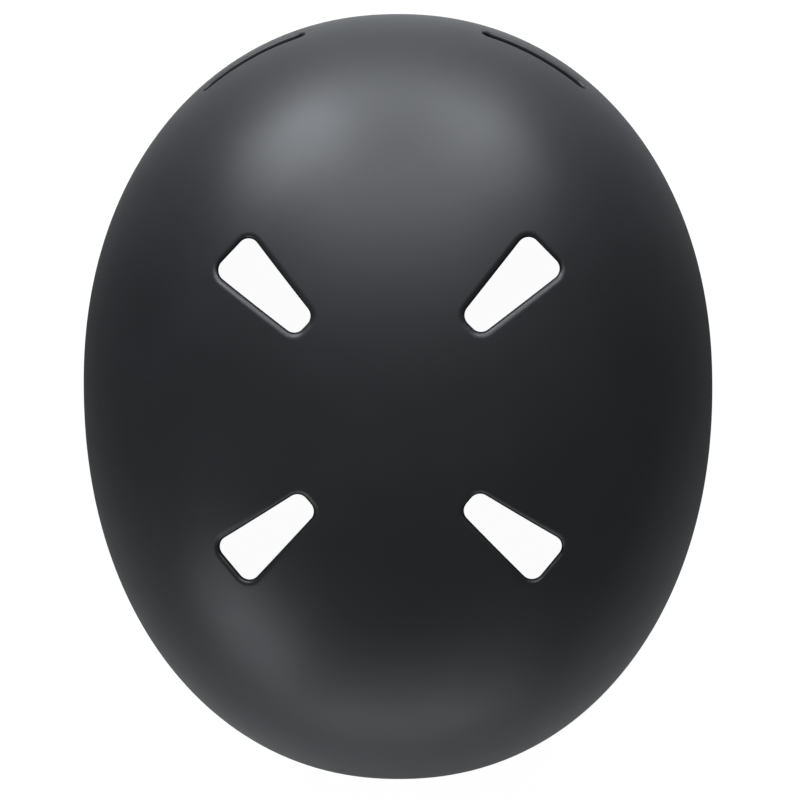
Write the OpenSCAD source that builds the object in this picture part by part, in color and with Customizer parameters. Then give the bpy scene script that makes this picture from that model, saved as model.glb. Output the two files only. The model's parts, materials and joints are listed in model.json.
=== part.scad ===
// Hard-shell bicycle helmet of the skate style, lying upright on a table as it does in a shop.
// Front is -Y, the wearer's left is +X, up is +Z. Millimetres. Z = 0 is the table under the rim.

/* [Shell] */
// Width of the helmet over its widest part
shell_width = 220; // [206:1:236]
// Length of the helmet over its widest part
shell_length = 268; // [254:1:284]
// Height of the crown above the table
shell_height = 158; // [150:1:168]
// Wall of the hard shell
shell_wall = 2.5; // [2:0.1:3.5]
// Height of the widest section above the table
girth_height = 62; // [56:1:68]
// How far behind the middle the widest section lies
girth_shift = 4; // [0:1:8]
// How far the side draws in from the widest section down to the rim
rim_tuck = 7; // [4:0.5:9]
// Height of the arch over each ear
ear_rise = 24; // [18:1:28]
// Height of the arch over the nape
nape_rise = 9; // [5:1:12]
// Height of the arch over the brow
brow_rise = 6; // [3:1:10]

/* [Edge trim] */
// Wall of the rubber edge trim
trim_wall = 1.2; // [1:0.1:1.8]
// Height of the trim's outer leg
trim_leg = 5; // [4:0.5:8]
// Width of the trim's foot under the shell and the liner
trim_foot = 9; // [7:0.5:12]

/* [Foam liner] */
// Wall of the foam liner
liner_wall = 22; // [18:0.5:23]
// How much higher the liner's inner edge is than its outer edge
liner_lip = 9; // [6:0.5:12]
// Width of each air channel along the inside of the liner
channel_width = 12; // [8:0.5:15]
// Depth of each air channel
channel_depth = 6; // [3:0.5:9]

/* [Crown vents] */
// Length of a crown vent, seen from above
vent_length = 35; // [28:1:40]
// Width of a crown vent at its outer end
vent_wide = 17; // [14:0.5:19]
// Width of a crown vent at its inner end
vent_narrow = 10; // [8:0.5:13]
// Corner radius of a crown vent
vent_corner = 3.8; // [2.5:0.1:4]
// Distance of each vent's middle from the centre line
vent_out = 40; // [37:0.5:43]
// Distance of the rear vents' middle behind the origin
rear_vent_back = 42; // [39:0.5:46]
// Distance of the front vents' middle ahead of the origin
front_vent_ahead = 39.5; // [37:0.5:44]
// Turn of the rear vents away from the X axis
rear_vent_turn = 44; // [38:1:50]
// Turn of the front vents away from the X axis
front_vent_turn = 40; // [34:1:46]

/* [Brow and rear vents] */
// Length of a brow or rear vent along the shell
slot_length = 40; // [30:1:44]
// Height of a brow or rear vent
slot_height = 8; // [6:0.5:12]
// Turn of these vents from the centre line
slot_turn = 23; // [21:1:27]
// Height of the rear vents' middle above the table
rear_slot_height = 84.5; // [80:0.5:88]
// Height of the brow vents' middle above the table
brow_slot_height = 50; // [46:1:56]

/* [Comfort pads] */
// Thickness of a comfort pad at its middle
pad_wall = 6; // [4:0.5:7]
// Height of the brow pad
brow_pad_height = 25; // [22:1:34]
// Length of the crown pad from front to back
crown_pad_length = 92; // [70:1:104]
// Width of the crown pad
crown_pad_width = 38; // [28:1:42]
// Height of the side pads
side_pad_height = 34; // [26:1:38]
// Diameter of the hook dots that hold the pads
hook_dot_diameter = 14; // [10:1:16]

/* [Fit ring] */
// Slope of the ring down towards the nape
ring_tilt = 14; // [11:0.5:17]
// Height of the temple pivots above the table
pivot_height = 41; // [39:0.5:44]
// Width of each ring band
band_width = 15; // [14.5:0.1:17]
// Wall of each ring band
band_wall = 1.6; // [1.2:0.1:1.9]
// Travel of each band between loose and tight
band_travel = 18.8; // [12:0.2:18.8]
// Angle that each band reaches ahead of its temple guide
band_tail = 22; // [20:1:26]
// Module of the pinion and rack teeth
tooth_module = 0.8; // [0.75:0.05:0.85]
// Teeth on the pinion, an even number
pinion_teeth = 10; // [10:2:10]
// Play between the pinion's teeth and each rack
tooth_play = 0.2; // [0.16:0.02:0.3]

/* [Dial] */
// Diameter of the dial
dial_diameter = 29; // [26:0.5:31]
// Depth of the dial from its foot to its face
dial_depth = 8.5; // [7:0.5:9]
// Scallops round the dial's grip
dial_scallops = 12; // [8:1:16]
// Clicks in one turn of the dial
dial_clicks = 24; // [18:2:30]
// Width of the dial housing
housing_width = 37; // [35:0.5:42]
// Height of the dial housing
housing_height = 23; // [22:0.5:25]
// Wall of the dial housing
housing_wall = 2.2; // [1.8:0.1:2.4]

/* [Height ladder] */
// Width of the ladder strip that holds the ring's height
ladder_width = 12; // [10:0.5:14]
// Wall of the ladder strip
ladder_wall = 1.6; // [1.2:0.1:2]
// Angle by which the ring can be lowered at the nape
ladder_drop = 14; // [10:1:14]
// Steps in that drop
ladder_steps = 3; // [2:1:4]

/* [Straps] */
// Width of the webbing
web_width = 16; // [14:0.5:17]
// Thickness of the webbing
web_wall = 1.5; // [1.2:0.1:1.8]
// How far the strap roots lie inside the shell's greatest width
strap_inset = 22; // [20:0.5:24]
// How far the strap roots lie ahead of and behind the chin strap
strap_spread = 38; // [36:1:40]
// How far the chin strap lies ahead of the temple pins
chin_ahead = 20.7; // [18:0.1:23]
// Radius of the bend where a side strap turns in over the table
strap_bend = 6; // [5:0.5:8]
// Distance of the chin strap's folds from the buckle
fold_gap = 5; // [4:0.5:8]

/* [Strap dividers] */
// Length of a divider
divider_length = 23; // [21:0.5:25]
// Width of a divider at its outer end
divider_wide = 42; // [40:0.5:46]
// Width of a divider at its inner end
divider_narrow = 22; // [20:0.5:26]
// Thickness of a divider
divider_wall = 6.4; // [6:0.1:7]

/* [Buckle] */
// Length of the buckle's socket half
socket_length = 30; // [28:0.5:32]
// Width of the buckle
buckle_width = 25; // [24:0.5:28]
// Thickness of the buckle
buckle_wall = 8.6; // [8:0.1:9.4]
// Length of the buckle's plug half outside the socket
plug_length = 14; // [13:0.5:16]

/* [Hidden] */
// Exponents of the plan outline and of the dome's profile
plan_power = 2.12;
dome_power = 2.2;
// Directions round the shell, and rings below and above the widest section
SIDES = 60;
LOW = 3;
HIGH = 11;
// Half spans of the three arches in the rim, in degrees of direction
ear_span = 42;
nape_span = 34;
brow_span = 36;
// Gap at a bonded face, at a face that slides and round a pin
bond = 0.15;
play = 0.3;
fit = 0.08;
EPS = 0.01;
$fn = 48;

black_shell = [0.07, 0.07, 0.08];
black_rubber = [0.1, 0.1, 0.11];
foam_grey = [0.16, 0.16, 0.18];
pad_grey = [0.24, 0.25, 0.27];
black_plastic = [0.13, 0.13, 0.14];
web_black = [0.09, 0.09, 0.1];
steel = [0.72, 0.73, 0.75];

// Insets of the liner's two faces from the outside of the shell
liner_out = shell_wall + bond;
liner_in = liner_out + liner_wall;
// How far the liner's openings stand back from the edges of the vents
vent_reveal = 0.6;

// Distance of the skin from the axis through the widest section, in direction phi
function plan(phi, inset = 0) =
    let (a = shell_width/2 - inset,
         b = shell_length/2 - inset + (sin(phi) < 0 ? girth_shift : -girth_shift))
    pow(pow(abs(cos(phi))/a, plan_power) + pow(abs(sin(phi))/b, plan_power), -1/plan_power);

function tuck(z) = rim_tuck*pow(max(0, girth_height - z)/girth_height, 2);

function rise_share(z, inset) = (z - girth_height)/(shell_height - inset - girth_height);

// Distance of the skin at height z
function skin(phi, z, inset = 0) = z <= girth_height
    ? plan(phi, inset) - tuck(z)
    : plan(phi, inset)*pow(1 - pow(rise_share(z, inset), dome_power), 1/dome_power);

function place(phi, r, z) = [r*cos(phi), girth_shift + r*sin(phi), z];

function wall_point(phi, z, inset) = place(phi, skin(phi, z, inset), z);

// Point of the dome above a point of the plan
function roof_point(x, y, inset) =
    let (s = norm([x, y - girth_shift])/plan(atan2(y - girth_shift, x), inset))
    [x, y, girth_height + (shell_height - inset - girth_height)
        *pow(1 - pow(s, dome_power), 1/dome_power)];

// Raised cosine arch of the rim round direction mid
function arch(phi, mid, span) =
    let (d = abs((phi - mid + 540)%360 - 180))
    d < span ? (1 + cos(180*d/span))/2 : 0;

function rim(phi) = ear_rise*(arch(phi, 0, ear_span) + arch(phi, 180, ear_span))
    + nape_rise*arch(phi, 90, nape_span) + brow_rise*arch(phi, 270, brow_span);

// Lower edge of the shell and the liner, on the foot of the trim
function edge(phi) = rim(phi) + trim_wall + 2*bond;

function azimuths() = [for (k = [0:SIDES - 1]) 360*k/SIDES];

// Rings of one face from its lower edge, which lies lift above the edge, to just under the crown
function face_rings(inset, lift) = [
    for (i = [0:LOW - 1]) [for (phi = azimuths())
        let (z0 = edge(phi) + lift)
        wall_point(phi, z0 + (girth_height - z0)*i/LOW, inset)],
    for (j = [0:HIGH - 1]) let (t = 90*j/HIGH) [for (phi = azimuths())
        place(phi, plan(phi, inset)*pow(cos(t), 2/dome_power),
            girth_height + (shell_height - inset - girth_height)*pow(sin(t), 2/dome_power))]
];

function flatten(lists) = [for (l = lists) each l];
function reversed(list) = [for (i = [len(list) - 1:-1:0]) list[i]];

// Triangles between ring i and ring j of n points each
function strip(i, j, n) = [for (k = [0:n - 1]) let (m = (k + 1)%n)
    each [[i*n + k, j*n + k, i*n + m], [i*n + m, j*n + k, j*n + m]]];

// Rings joined in turn and closed by one point at each end
module skinned(rings, first, last) {
    n = len(rings[0]);
    points = concat(flatten(rings), [first, last]);
    a = len(points) - 2;
    top = (len(rings) - 1)*n;
    polyhedron(points, concat(
        [for (k = [0:n - 1]) [a, k, (k + 1)%n]],
        [for (i = [0:len(rings) - 2]) each strip(i, i + 1, n)],
        [for (k = [0:n - 1]) [a + 1, top + (k + 1)%n, top + k]]), convexity = 8);
}

// Rings joined in turn, the last to the first
module looped(rings) {
    n = len(rings[0]);
    polyhedron(flatten(rings),
        [for (i = [0:len(rings) - 1]) each strip(i, (i + 1)%len(rings), n)], convexity = 8);
}

function crown_point(inset) = [0, girth_shift, shell_height - inset];

// Space under a face of the dome, down to the widest section
module under_face(inset) {
    rings = face_rings(inset, 0);
    skinned([for (i = [LOW:len(rings) - 1]) rings[i]],
        [0, girth_shift, girth_height], crown_point(inset));
}

// The ring, outward from the head: cover, inner band, outer band, housing, dial
flange_sink = 0.4;
temple_x = skin(0, pivot_height, liner_in) - flange_sink;
guide_wall = 1.3;
boss_wall = 0.7;
ring_out = temple_x - 2*play - guide_wall - boss_wall - 0.5;
outer_band = ring_out - band_wall/2;
inner_band = outer_band - band_wall - play;
ring_in = inner_band - band_wall/2;
cover_wall = 1.8;
cover_out = ring_in - play;
cover_in = cover_out - cover_wall;
housing_out = ring_out + play + housing_wall;
dial_foot = housing_out + play;
dial_face = dial_foot + dial_depth;
housing_turn = turn_of(housing_width/2 + 3, cover_in);
ring_half = band_width/2 + play + 1.8;
// Room left between the dial and the liner behind it
dial_room = 2;
ring_y = shell_length/2 - liner_in - tuck(pivot_height - 8) - dial_room
    - dial_face*cos(ring_tilt) - dial_diameter/2*sin(ring_tilt);

// Gear teeth
pressure_angle = 28;
tooth_pitch = PI*tooth_module;
pitch_radius = tooth_module*pinion_teeth/2;
base_radius = pitch_radius*cos(pressure_angle);
tip_radius = pitch_radius + tooth_module;
root_radius = pitch_radius - 1.25*tooth_module;
rack_root = 1.25*tooth_module;
slot_reach = tip_radius + 0.8;
rack_teeth = ceil((band_travel + tip_radius)/tooth_pitch);
band_tip = 3.4;
band_corner_radius = 3;
// Round corners lie this far inside the flat edges that they meet
corner_step = 0.05;
window_length = 6;
window_height = 5;

// Dial, shaft and screws
journal_radius = 2;
shaft_radius = 2.6;
hub_radius = 5;
hub_depth = 5.4;
screw_radius = 1.1;
screw_head = 1.3;
screw_length = cover_wall + 2.6;
screw_depth = 3.2;
screw_turn = turn_of(housing_width/2 - 4.2, cover_in);
scallop_radius = 2.6;
scallop_depth = 1.1;
click_radius = dial_diameter/2 - 3.4;
click_depth = dial_depth - 3.2;
spring_wall = 0.8;
spring_ring = 1.6;

// Ladder and its clip
ladder_radius = housing_out + 6.2;
foot_radius = cover_out + 1;
ladder_foot = -3.2;
ladder_corner = 2;
// Foot of the ladder: how much it stands out on each side, and its turn in degrees
foot_side = 1;
foot_turn = 2;
anchor_middle = 11;
ladder_top = anchor_middle + ladder_drop + 5.5;
anchor_width = ladder_width + 8;
anchor_low = pivot_height + ladder_radius*sin(anchor_middle) - 4.5;
anchor_high = anchor_low + 9;
anchor_in = ladder_radius - ladder_wall/2 - play - 1.2;
anchor_back = wall_point(90 - atan(anchor_width/2/(shell_length/2 - liner_in)),
    anchor_low, liner_in)[1] - 2*bond;
plug_radius = 3;
plug_depth = 9;

// Temple guides and pins
guide_length = 15;
pin_radius = 2.5;
boss_radius = 5.5;
pin_flange = 1.2;
flange_radius = 7;
pin_depth = 11;

// Pads
brow_pad_length = 130;
side_pad_length = 62;
rear_pad_length = 40;
rear_pad_height = 22;
dot_wall = 1;
dot_sink = 0.3;
// Turn of the dots about their own axes
dot_turn = 4;
// A pad stands off the liner by the pile of its hook dots
pad_gap = 0.75;
nape_pad_wall = 4;
nape_pad_length = 33;
nape_pad_height = 20;

// Straps, dividers and buckle, all lying just over the table
divider_low = 1;
divider_base = 2;
strap_floor = divider_low + divider_base + bond + web_wall/2;
front_top = 32;
rear_top = 34;
anchor_block = 8;
block_wall = 6;
strap_bite = 4.5;
strap_out = shell_width/2 - strap_inset;
strap_run = 10;
// Room round the webbing in its slot, beside it and at the mouth
slot_side = 1.5;
slot_room = 0.6;
mouth_side = 6;
mouth_drift = 4;
divider_out = strap_out - strap_bend - strap_run;
chin_y = ring_y - chin_ahead;
divider_in = divider_out - divider_length;
divider_pitch = web_width + 2.6;
divider_corner = 3;
divider_rim = 2.6;
lever_wall = 1.6;
lever_under = divider_low + divider_wall - lever_wall;
barrel_radius = 1.3;
lever_pin = 0.8;
journal_length = 1.4;
barrel_length = divider_narrow - 2*divider_rim - 2*play;
hinge_x = divider_in + divider_rim + barrel_radius + play;
hinge_z = divider_low + divider_wall - barrel_radius;
fold_radius = web_wall/2 + 0.3;
fold_out = divider_in - 3;
keeper_width = 5;
keeper_wall = 1.2;
buckle_end = (socket_length + plug_length)/2;
fold_in = buckle_end + fold_gap;
mouth_x = buckle_end - socket_length;
bar_radius = 1.4;
bar_x = buckle_end - bar_radius - 0.6;
bar_z = divider_low + buckle_wall/2;
loop_radius = bar_radius + bond + web_wall/2;
eye_start = bar_x - loop_radius - web_wall/2 - play;
cavity_end = eye_start - 1.8;
cavity_width = buckle_width - 4;
cavity_height = buckle_wall - 3.2;
prong_wall = cavity_height - 1;
// Outline of a prong's head, back from its tip and in from its side
head_outline = [[3, 5.4], [0, 3.6], [1, 2], [7, 0], [8.5, 0.4], [8.5, 2.4]];
prong_root = 1.7;
prong_pin = 0.9;
prong_x = mouth_x - play - prong_root - 0.9;
prong_out = buckle_width/2 - 5;
head_out = buckle_width/2 - 0.4;
prong_length = cavity_end - prong_x - 1.2;
window_start = prong_x + prong_length - 9.5;
tongue_width = 3.6;
tongue_end = cavity_end - 3;

// Cutter of a crown vent, wide end outward; grow widens it all round
module crown_vent(sx, sy, grow) {
    back = sy > 0 ? rear_vent_back : -front_vent_ahead;
    turn = sy > 0 ? rear_vent_turn : front_vent_turn;
    narrow = min(vent_corner, vent_narrow/2 - EPS);
    run = vent_length/2;
    translate([sx*vent_out, back, shell_height/2])
        rotate([0, 0, sx*sy*turn + (sx < 0 ? 180 : 0)])
        linear_extrude(shell_height)
        hull() for (side = [-1, 1]) {
            translate([run - vent_corner, side*(vent_wide/2 - vent_corner)])
                circle(vent_corner + grow, $fn = 32);
            translate([narrow - run, side*(vent_narrow/2 - narrow)])
                circle(narrow + grow, $fn = 32);
        }
}

// Cutter of a brow or rear vent, which runs level out of the head's cavity
module side_vent(sx, sy, grow) {
    end = slot_height/2;
    translate([0, girth_shift, sy > 0 ? rear_slot_height : brow_slot_height])
        rotate([90, 0, sy > 0 ? 180 - sx*slot_turn : sx*slot_turn])
        translate([0, 0, shell_width/4])
        linear_extrude(shell_length)
        hull() for (side = [-1, 1])
            translate([side*(slot_length/2 - end), 0]) circle(end + grow, $fn = 32);
}

module all_vents(grow = 0)
    for (sx = [-1, 1], sy = [-1, 1]) {
        crown_vent(sx, sy, grow);
        side_vent(sx, sy, grow);
    }

module outer_shell() color(black_shell) difference() {
    skinned(concat(reversed(face_rings(shell_wall, 0)), face_rings(0, 0)),
        crown_point(shell_wall), crown_point(0));
    all_vents();
}

module foam_liner() color(foam_grey) difference() {
    foot = [for (phi = azimuths())
        place(phi, plan(phi, trim_foot + 1) - tuck(edge(phi)), edge(phi))];
    skinned(concat(reversed(face_rings(liner_in, liner_lip)), [foot],
        face_rings(liner_out, 0)), crown_point(liner_in), crown_point(liner_out));
    all_vents(vent_reveal);
    for (side = [-1, 1]) air_channel(side);
    pin_holes();
    strap_pockets();
    dot_pockets();
    anchor_holes();
}

// Channel that carries air from a front crown vent back to a rear one
module air_channel(side) intersection() {
    under_face(liner_in - channel_depth);
    translate([side*vent_out - channel_width/2, -front_vent_ahead, girth_height + 1])
        cube([channel_width, front_vent_ahead + rear_vent_back, shell_height]);
}

// The trim: an outer leg on the shell and a foot under the shell and the liner
module rim_trim() color(black_rubber) {
    looped([for (k = [0:5]) [for (phi = azimuths())
        let (z = edge(phi), top = z + trim_leg, low = z - trim_wall - 2*bond,
             wall = plan(phi) + bond)
        k == 0 ? place(phi, wall + trim_wall - tuck(low), low) :
        k == 1 ? place(phi, wall + 0.6*trim_wall - tuck(top), top) :
        k == 2 ? place(phi, wall - tuck(top), top) :
        k == 3 ? place(phi, wall - tuck(z), z - 2*bond) :
        k == 4 ? place(phi, plan(phi, trim_foot) - tuck(z), z - 2*bond) :
        place(phi, plan(phi, trim_foot) - tuck(z), low)]]);
}

// Place on the liner's inner face of a pad's middle: [direction, height]
brow_pad_middle = [270, rim(270) + trim_wall + liner_lip + 2 + brow_pad_height/2];
side_pad_middle = [0, pivot_height + ring_half + 3 + side_pad_height/2];
rear_pad_middle = [62, rear_slot_height - slot_height/2 - 3 - rear_pad_height/2];

// Half of what a pad spans in direction
function half_turn(length, phi) = length/2/skin(phi, girth_height, liner_in)*180/PI;

// Crown of a cushion: full in the middle, drawn in at its edge
function crown(s) = 0.3 + 0.7*pow(1 - pow(s, 3), 0.6);

PAD_RINGS = 4;
PAD_SIDES = 24;

// A cushion on the liner: spot gives the point of the liner's face for [u, v] in -1..1
// and push its share of the way inward
module cushion(points_at) {
    rings = [for (s = [1:PAD_RINGS]) s/PAD_RINGS];
    skinned(concat(
        [for (s = rings) points_at(s == 1 ? 0.985 : s, 1)],
        [for (s = reversed(rings)) points_at(s, 0)]),
        points_at(0, 1)[0], points_at(0, 0)[0]);
}

// Rounded oblong with sides drawn in between its corners, at share s of its size
function oblong(s, power = 4) = [for (k = [0:PAD_SIDES - 1])
    let (t = 360*k/PAD_SIDES, c = cos(t), n = sin(t),
         r = pow(pow(abs(c), power) + pow(abs(n), power), -1/power),
         waist = 1 - 0.05*pow(cos(2*t), 2)*s)
    [s*r*c*waist, s*r*n*waist]];

// Cushion on the liner's wall round the point [phi, z]
module wall_pad(mid, length, height, flip = false) {
    turn = half_turn(length, mid[0]);
    cushion(function(s, top) [for (p = oblong(s))
        let (phi = mid[0] + turn*p[0], z = mid[1] + height/2*p[1])
        wall_point(phi, z, liner_in + pad_gap + (top ? pad_wall*crown(s) : 0))]);
}

// Cushion under the crown
module roof_pad(y, length, width)
    cushion(function(s, top) [for (p = oblong(s))
        roof_point(width/2*p[0], y + length/2*p[1],
            liner_in + pad_gap + (top ? pad_wall*crown(s) : 0))]);

module brow_pad() color(pad_grey) wall_pad(brow_pad_middle, brow_pad_length, brow_pad_height);

module crown_pad() color(pad_grey) roof_pad(0, crown_pad_length, crown_pad_width);

module side_pad_left() color(pad_grey)
    wall_pad(side_pad_middle, side_pad_length, side_pad_height);

module side_pad_right() color(pad_grey)
    mirror([1, 0, 0]) wall_pad(side_pad_middle, side_pad_length, side_pad_height);

module rear_pad_left() color(pad_grey)
    wall_pad(rear_pad_middle, rear_pad_length, rear_pad_height);

module rear_pad_right() color(pad_grey)
    mirror([1, 0, 0]) wall_pad(rear_pad_middle, rear_pad_length, rear_pad_height);

// Hook dots in the liner under the pads: each has its own flat pocket
module at_dots() {
    for (side = [-1, 1]) {
        dot_on_wall(270 + side*20, brow_pad_middle[1]) children();
        dot_on_roof(side*crown_pad_length/3) children();
        mirror([side < 0 ? 1 : 0, 0, 0]) {
            dot_on_wall(side_pad_middle[0], side_pad_middle[1]) children();
            dot_on_wall(rear_pad_middle[0], rear_pad_middle[1]) children();
        }
    }
}

module dot_on_wall(phi, z) {
    slope = (skin(phi, z + 1, liner_in) - skin(phi, z - 1, liner_in))/2;
    translate(wall_point(phi, z, liner_in)) rotate([0, 90 + atan(slope), phi]) children();
}

module dot_on_roof(y) {
    slope = (roof_point(0, y + 1, liner_in) - roof_point(0, y - 1, liner_in))[2]/2;
    translate(roof_point(0, y, liner_in)) rotate([atan(slope), 0, 0]) children();
}

module hook_dots() color(black_plastic) at_dots()
    translate([0, 0, dot_sink]) rotate([0, 0, dot_turn])
    cylinder(h = dot_wall, d = hook_dot_diameter, $fn = 24);

module dot_pockets() at_dots()
    translate([0, 0, -dot_wall]) rotate([0, 0, dot_turn])
    cylinder(h = dot_sink + 2*dot_wall + bond, d = hook_dot_diameter + 4*bond, $fn = 24);

// The ring's frame: its axis stands on the temple pivots and leans back by the ring's slope
module in_ring() translate([0, ring_y, pivot_height]) rotate([-ring_tilt, 0, 0]) children();

// Wall bent round the ring's axis; 90 degrees is the rear and 0 the left temple
module bent(r1, r2, z1, z2, from, to) rotate([0, 0, from])
    rotate_extrude(angle = to - from, $fn = 96) translate([r1, z1]) square([r2 - r1, z2 - z1]);

// Wall bent round the temple pivots; 0 degrees is level to the rear
module swung(r1, r2, width, from, to) translate([0, ring_y, pivot_height])
    rotate([90, 0, 90]) rotate([0, 0, from])
    rotate_extrude(angle = to - from, $fn = 96)
    translate([r1, -width/2]) square([r2 - r1, width]);

function turn_of(length, r) = length/r*180/PI;

// Looking in along the dial's axis: x to the wearer's right, y up, z out of the head
module along_dial(r) in_ring() translate([0, r, 0]) rotate([-90, 180, 0]) children();

// Rack tooth with straight flanks, its tip towards the pinion
module rack_tooth(r) {
    half = tooth_pitch/4 - tooth_play/4;
    lean = tan(pressure_angle);
    polygon([[-half - rack_root*lean, pitch_radius + rack_root + 0.6],
        [-half - rack_root*lean, pitch_radius + rack_root],
        [-half + tooth_module*lean, pitch_radius - tooth_module],
        [half - tooth_module*lean, pitch_radius - tooth_module],
        [half + rack_root*lean, pitch_radius + rack_root],
        [half + rack_root*lean, pitch_radius + rack_root + 0.6]]);
}

// One band of the ring. It lies at radius r, its rack is on the upper edge of its slot
module band(r) {
    near = slot_reach;
    far = band_travel + slot_reach;
    r1 = r - band_wall/2;
    r2 = r + band_wall/2;
    half = band_width/2;
    root = pitch_radius + rack_root;
    low = tip_radius + 0.4;
    difference() {
        bent(r1, r2, -half, half, -band_tail, 90 + turn_of(near + band_tip, r));
        bent(r1 - 1, r2 + 1, -low, root, 90 - turn_of(far, r), 90 + turn_of(near, r));
        for (side = [-1, 1]) {
            band_corner(r, 90 + turn_of(near + band_tip, r), side, 1);
            band_corner(r, -band_tail, side, -1);
        }
        for (k = [0:3]) band_window(r, 24 + 11*k);
    }
    for (k = [-rack_teeth:1])
        rotate([0, 0, turn_of((k + 0.5)*tooth_pitch, r)])
        translate([0, r + band_wall/2 - 0.1, 0]) rotate([90, 0, 0])
        linear_extrude(band_wall - 0.2) rack_tooth(r);
}

// Square block that leaves a round corner at the end of a band
module band_corner(r, at, side, way) {
    c = band_corner_radius;
    rotate([0, 0, at]) translate([r, -way*c, side*(band_width/2 - c)]) rotate([0, 90, 0])
        difference() {
            translate([side > 0 ? -c - 1 : 0, way > 0 ? 0 : -c - 1, -band_wall])
                cube([c + 1, c + 1, 2*band_wall]);
            cylinder(h = 3*band_wall, r = c - corner_step, center = true, $fn = 32);
        }
}

// Oblong opening that lightens a band
module band_window(r, at) rotate([0, 0, at]) translate([r, 0, 0]) rotate([0, 90, 0])
    for (side = [-1, 1]) {
        translate([0, side*window_length/2, 0])
            cylinder(h = 3*band_wall, r = window_height/2, center = true, $fn = 32);
        if (side > 0) cube([window_height, window_length, 3*band_wall], center = true);
    }

// The left band runs inside the right one
module band_left() color(black_plastic) in_ring() band(inner_band);

module band_right() color(black_plastic) in_ring() mirror([1, 0, 0]) mirror([0, 0, 1])
    band(outer_band);

// Involute of the pinion's base circle
function involute(t) = [base_radius*(cos(t) + t*PI/180*sin(t)),
    base_radius*(sin(t) - t*PI/180*cos(t))];
function unroll(r) = sqrt(pow(r/base_radius, 2) - 1)*180/PI;
function involute_turn(a) = (tan(a) - a*PI/180)*180/PI;

function pinion_flank() = [for (k = [0:5])
    let (r = base_radius + (tip_radius - base_radius)*k/5) involute(unroll(max(r, base_radius)))];

function pinion_outline() = let (
        half = 90/pinion_teeth + involute_turn(pressure_angle) - turn_of(tooth_play/4, pitch_radius),
        flank = [for (p = pinion_flank()) turned(p, -half)])
    [for (k = [0:pinion_teeth - 1]) each [for (p = concat(
        [turned([root_radius, 0], -half - 2)], flank,
        [for (q = reversed(flank)) [q[0], -q[1]]], [turned([root_radius, 0], half + 2)]))
        turned(p, 90 + 360*k/pinion_teeth)]];

function turned(p, a) = [p[0]*cos(a) - p[1]*sin(a), p[0]*sin(a) + p[1]*cos(a)];

module pinion() color(steel) difference() {
    union() {
        along_dial(ring_in + 0.1) linear_extrude(ring_out - ring_in - 0.2)
            polygon(pinion_outline());
        along_dial(cover_in + 0.6)
            cylinder(h = ring_in + 0.2 - cover_in - 0.6, r = journal_radius);
        along_dial(ring_out - 0.2)
            cylinder(h = dial_foot + hub_depth - bond - ring_out + 0.2, r = shaft_radius);
    }
    along_dial(dial_foot + hub_depth - screw_depth)
        cylinder(h = screw_depth + 1, r = screw_radius - 0.3);
}

// Plan of the dial housing: an oblong with round corners and a round seat for the dial
module housing_plan(grow = 0) {
    c = 4;
    for (sx = [-1, 1], sy = [-1, 1])
        translate([sx*(housing_width/2 - c), sy*(housing_height/2 - c)])
            circle(c + grow, $fn = 32);
    square([housing_width + 2*grow, housing_height - 2*c], center = true);
    square([housing_width - 2*c, housing_height + 2*grow], center = true);
}

module housing_block(r1, r2, z1, z2) in_ring()
    bent(r1, r2, z1, z2, 90 - housing_turn, 90 + housing_turn);

// Outer half of the housing: it holds the bands on three sides
module dial_housing() color(black_plastic) difference() {
    intersection() {
        union() {
            housing_block(ring_out + play, housing_out, -housing_height/2, housing_height/2);
            for (side = [0, 1]) in_ring() mirror([0, 0, side])
                bent(cover_out + bond, ring_out + play + EPS, band_width/2 + play,
                    housing_height/2, 90 - housing_turn, 90 + housing_turn);
        }
        along_dial(ring_in/2) linear_extrude(ring_out) housing_plan();
    }
    along_dial(ring_in) cylinder(h = ring_out, r = shaft_radius + fit);
    at_cover_screws() cylinder(h = screw_length + 0.4, r = screw_radius + fit);
}

module housing_cover() color(black_plastic) difference() {
    intersection() {
        housing_block(cover_in, cover_out, -housing_height/2, housing_height/2);
        along_dial(ring_in/2) linear_extrude(ring_out) housing_plan();
    }
    along_dial(cover_in + 0.4) cylinder(h = ring_out, r = journal_radius + fit);
    at_cover_screws() {
        cylinder(h = screw_length, r = screw_radius + fit);
        translate([0, 0, -5]) cylinder(h = 5 + screw_head + 0.1, r = 1.8*screw_radius + fit);
    }
}

// Each screw enters the cover from the head's side, square to the bands
module at_cover_screws() in_ring() for (sx = [-1, 1], sz = [-1, 1])
    rotate([0, 0, -sx*screw_turn])
    translate([0, cover_in + 0.2, sz*(band_width/2 + play + housing_height/2)/2])
    rotate([-90, 0, 0]) children();

module cover_screws() color(steel) at_cover_screws() difference() {
    union() {
        cylinder(h = screw_head, r = 1.8*screw_radius);
        cylinder(h = screw_length, r = screw_radius);
    }
    translate([0, 0, -EPS]) cylinder(h = 0.6*screw_head, r = 0.9*screw_radius, $fn = 6);
}

// The dial: a scalloped cap over a hollow that holds the click ring
module dial() color(black_plastic) along_dial(dial_foot) difference() {
    rotate_extrude($fn = 96) dial_profile();
    for (k = [0:dial_scallops - 1]) rotate([0, 0, 360*k/dial_scallops])
        translate([dial_diameter/2 + scallop_radius - scallop_depth, 0, -1])
        cylinder(h = dial_depth + 2, r = scallop_radius, $fn = 32);
    translate([0, 0, -1]) cylinder(h = hub_depth + 1, r = shaft_radius + 0.02);
    translate([0, 0, -1]) cylinder(h = dial_depth + 2, r = screw_radius + fit);
    translate([0, 0, dial_depth - screw_head - 0.3])
        cylinder(h = 2*screw_head + 1, r = 1.8*screw_radius + fit);
    for (k = [0:dial_clicks - 1]) rotate([0, 0, 360*k/dial_clicks])
        translate([click_radius, 0, -1]) cylinder(h = click_depth + 1, r = 0.6, $fn = 16);
}

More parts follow.
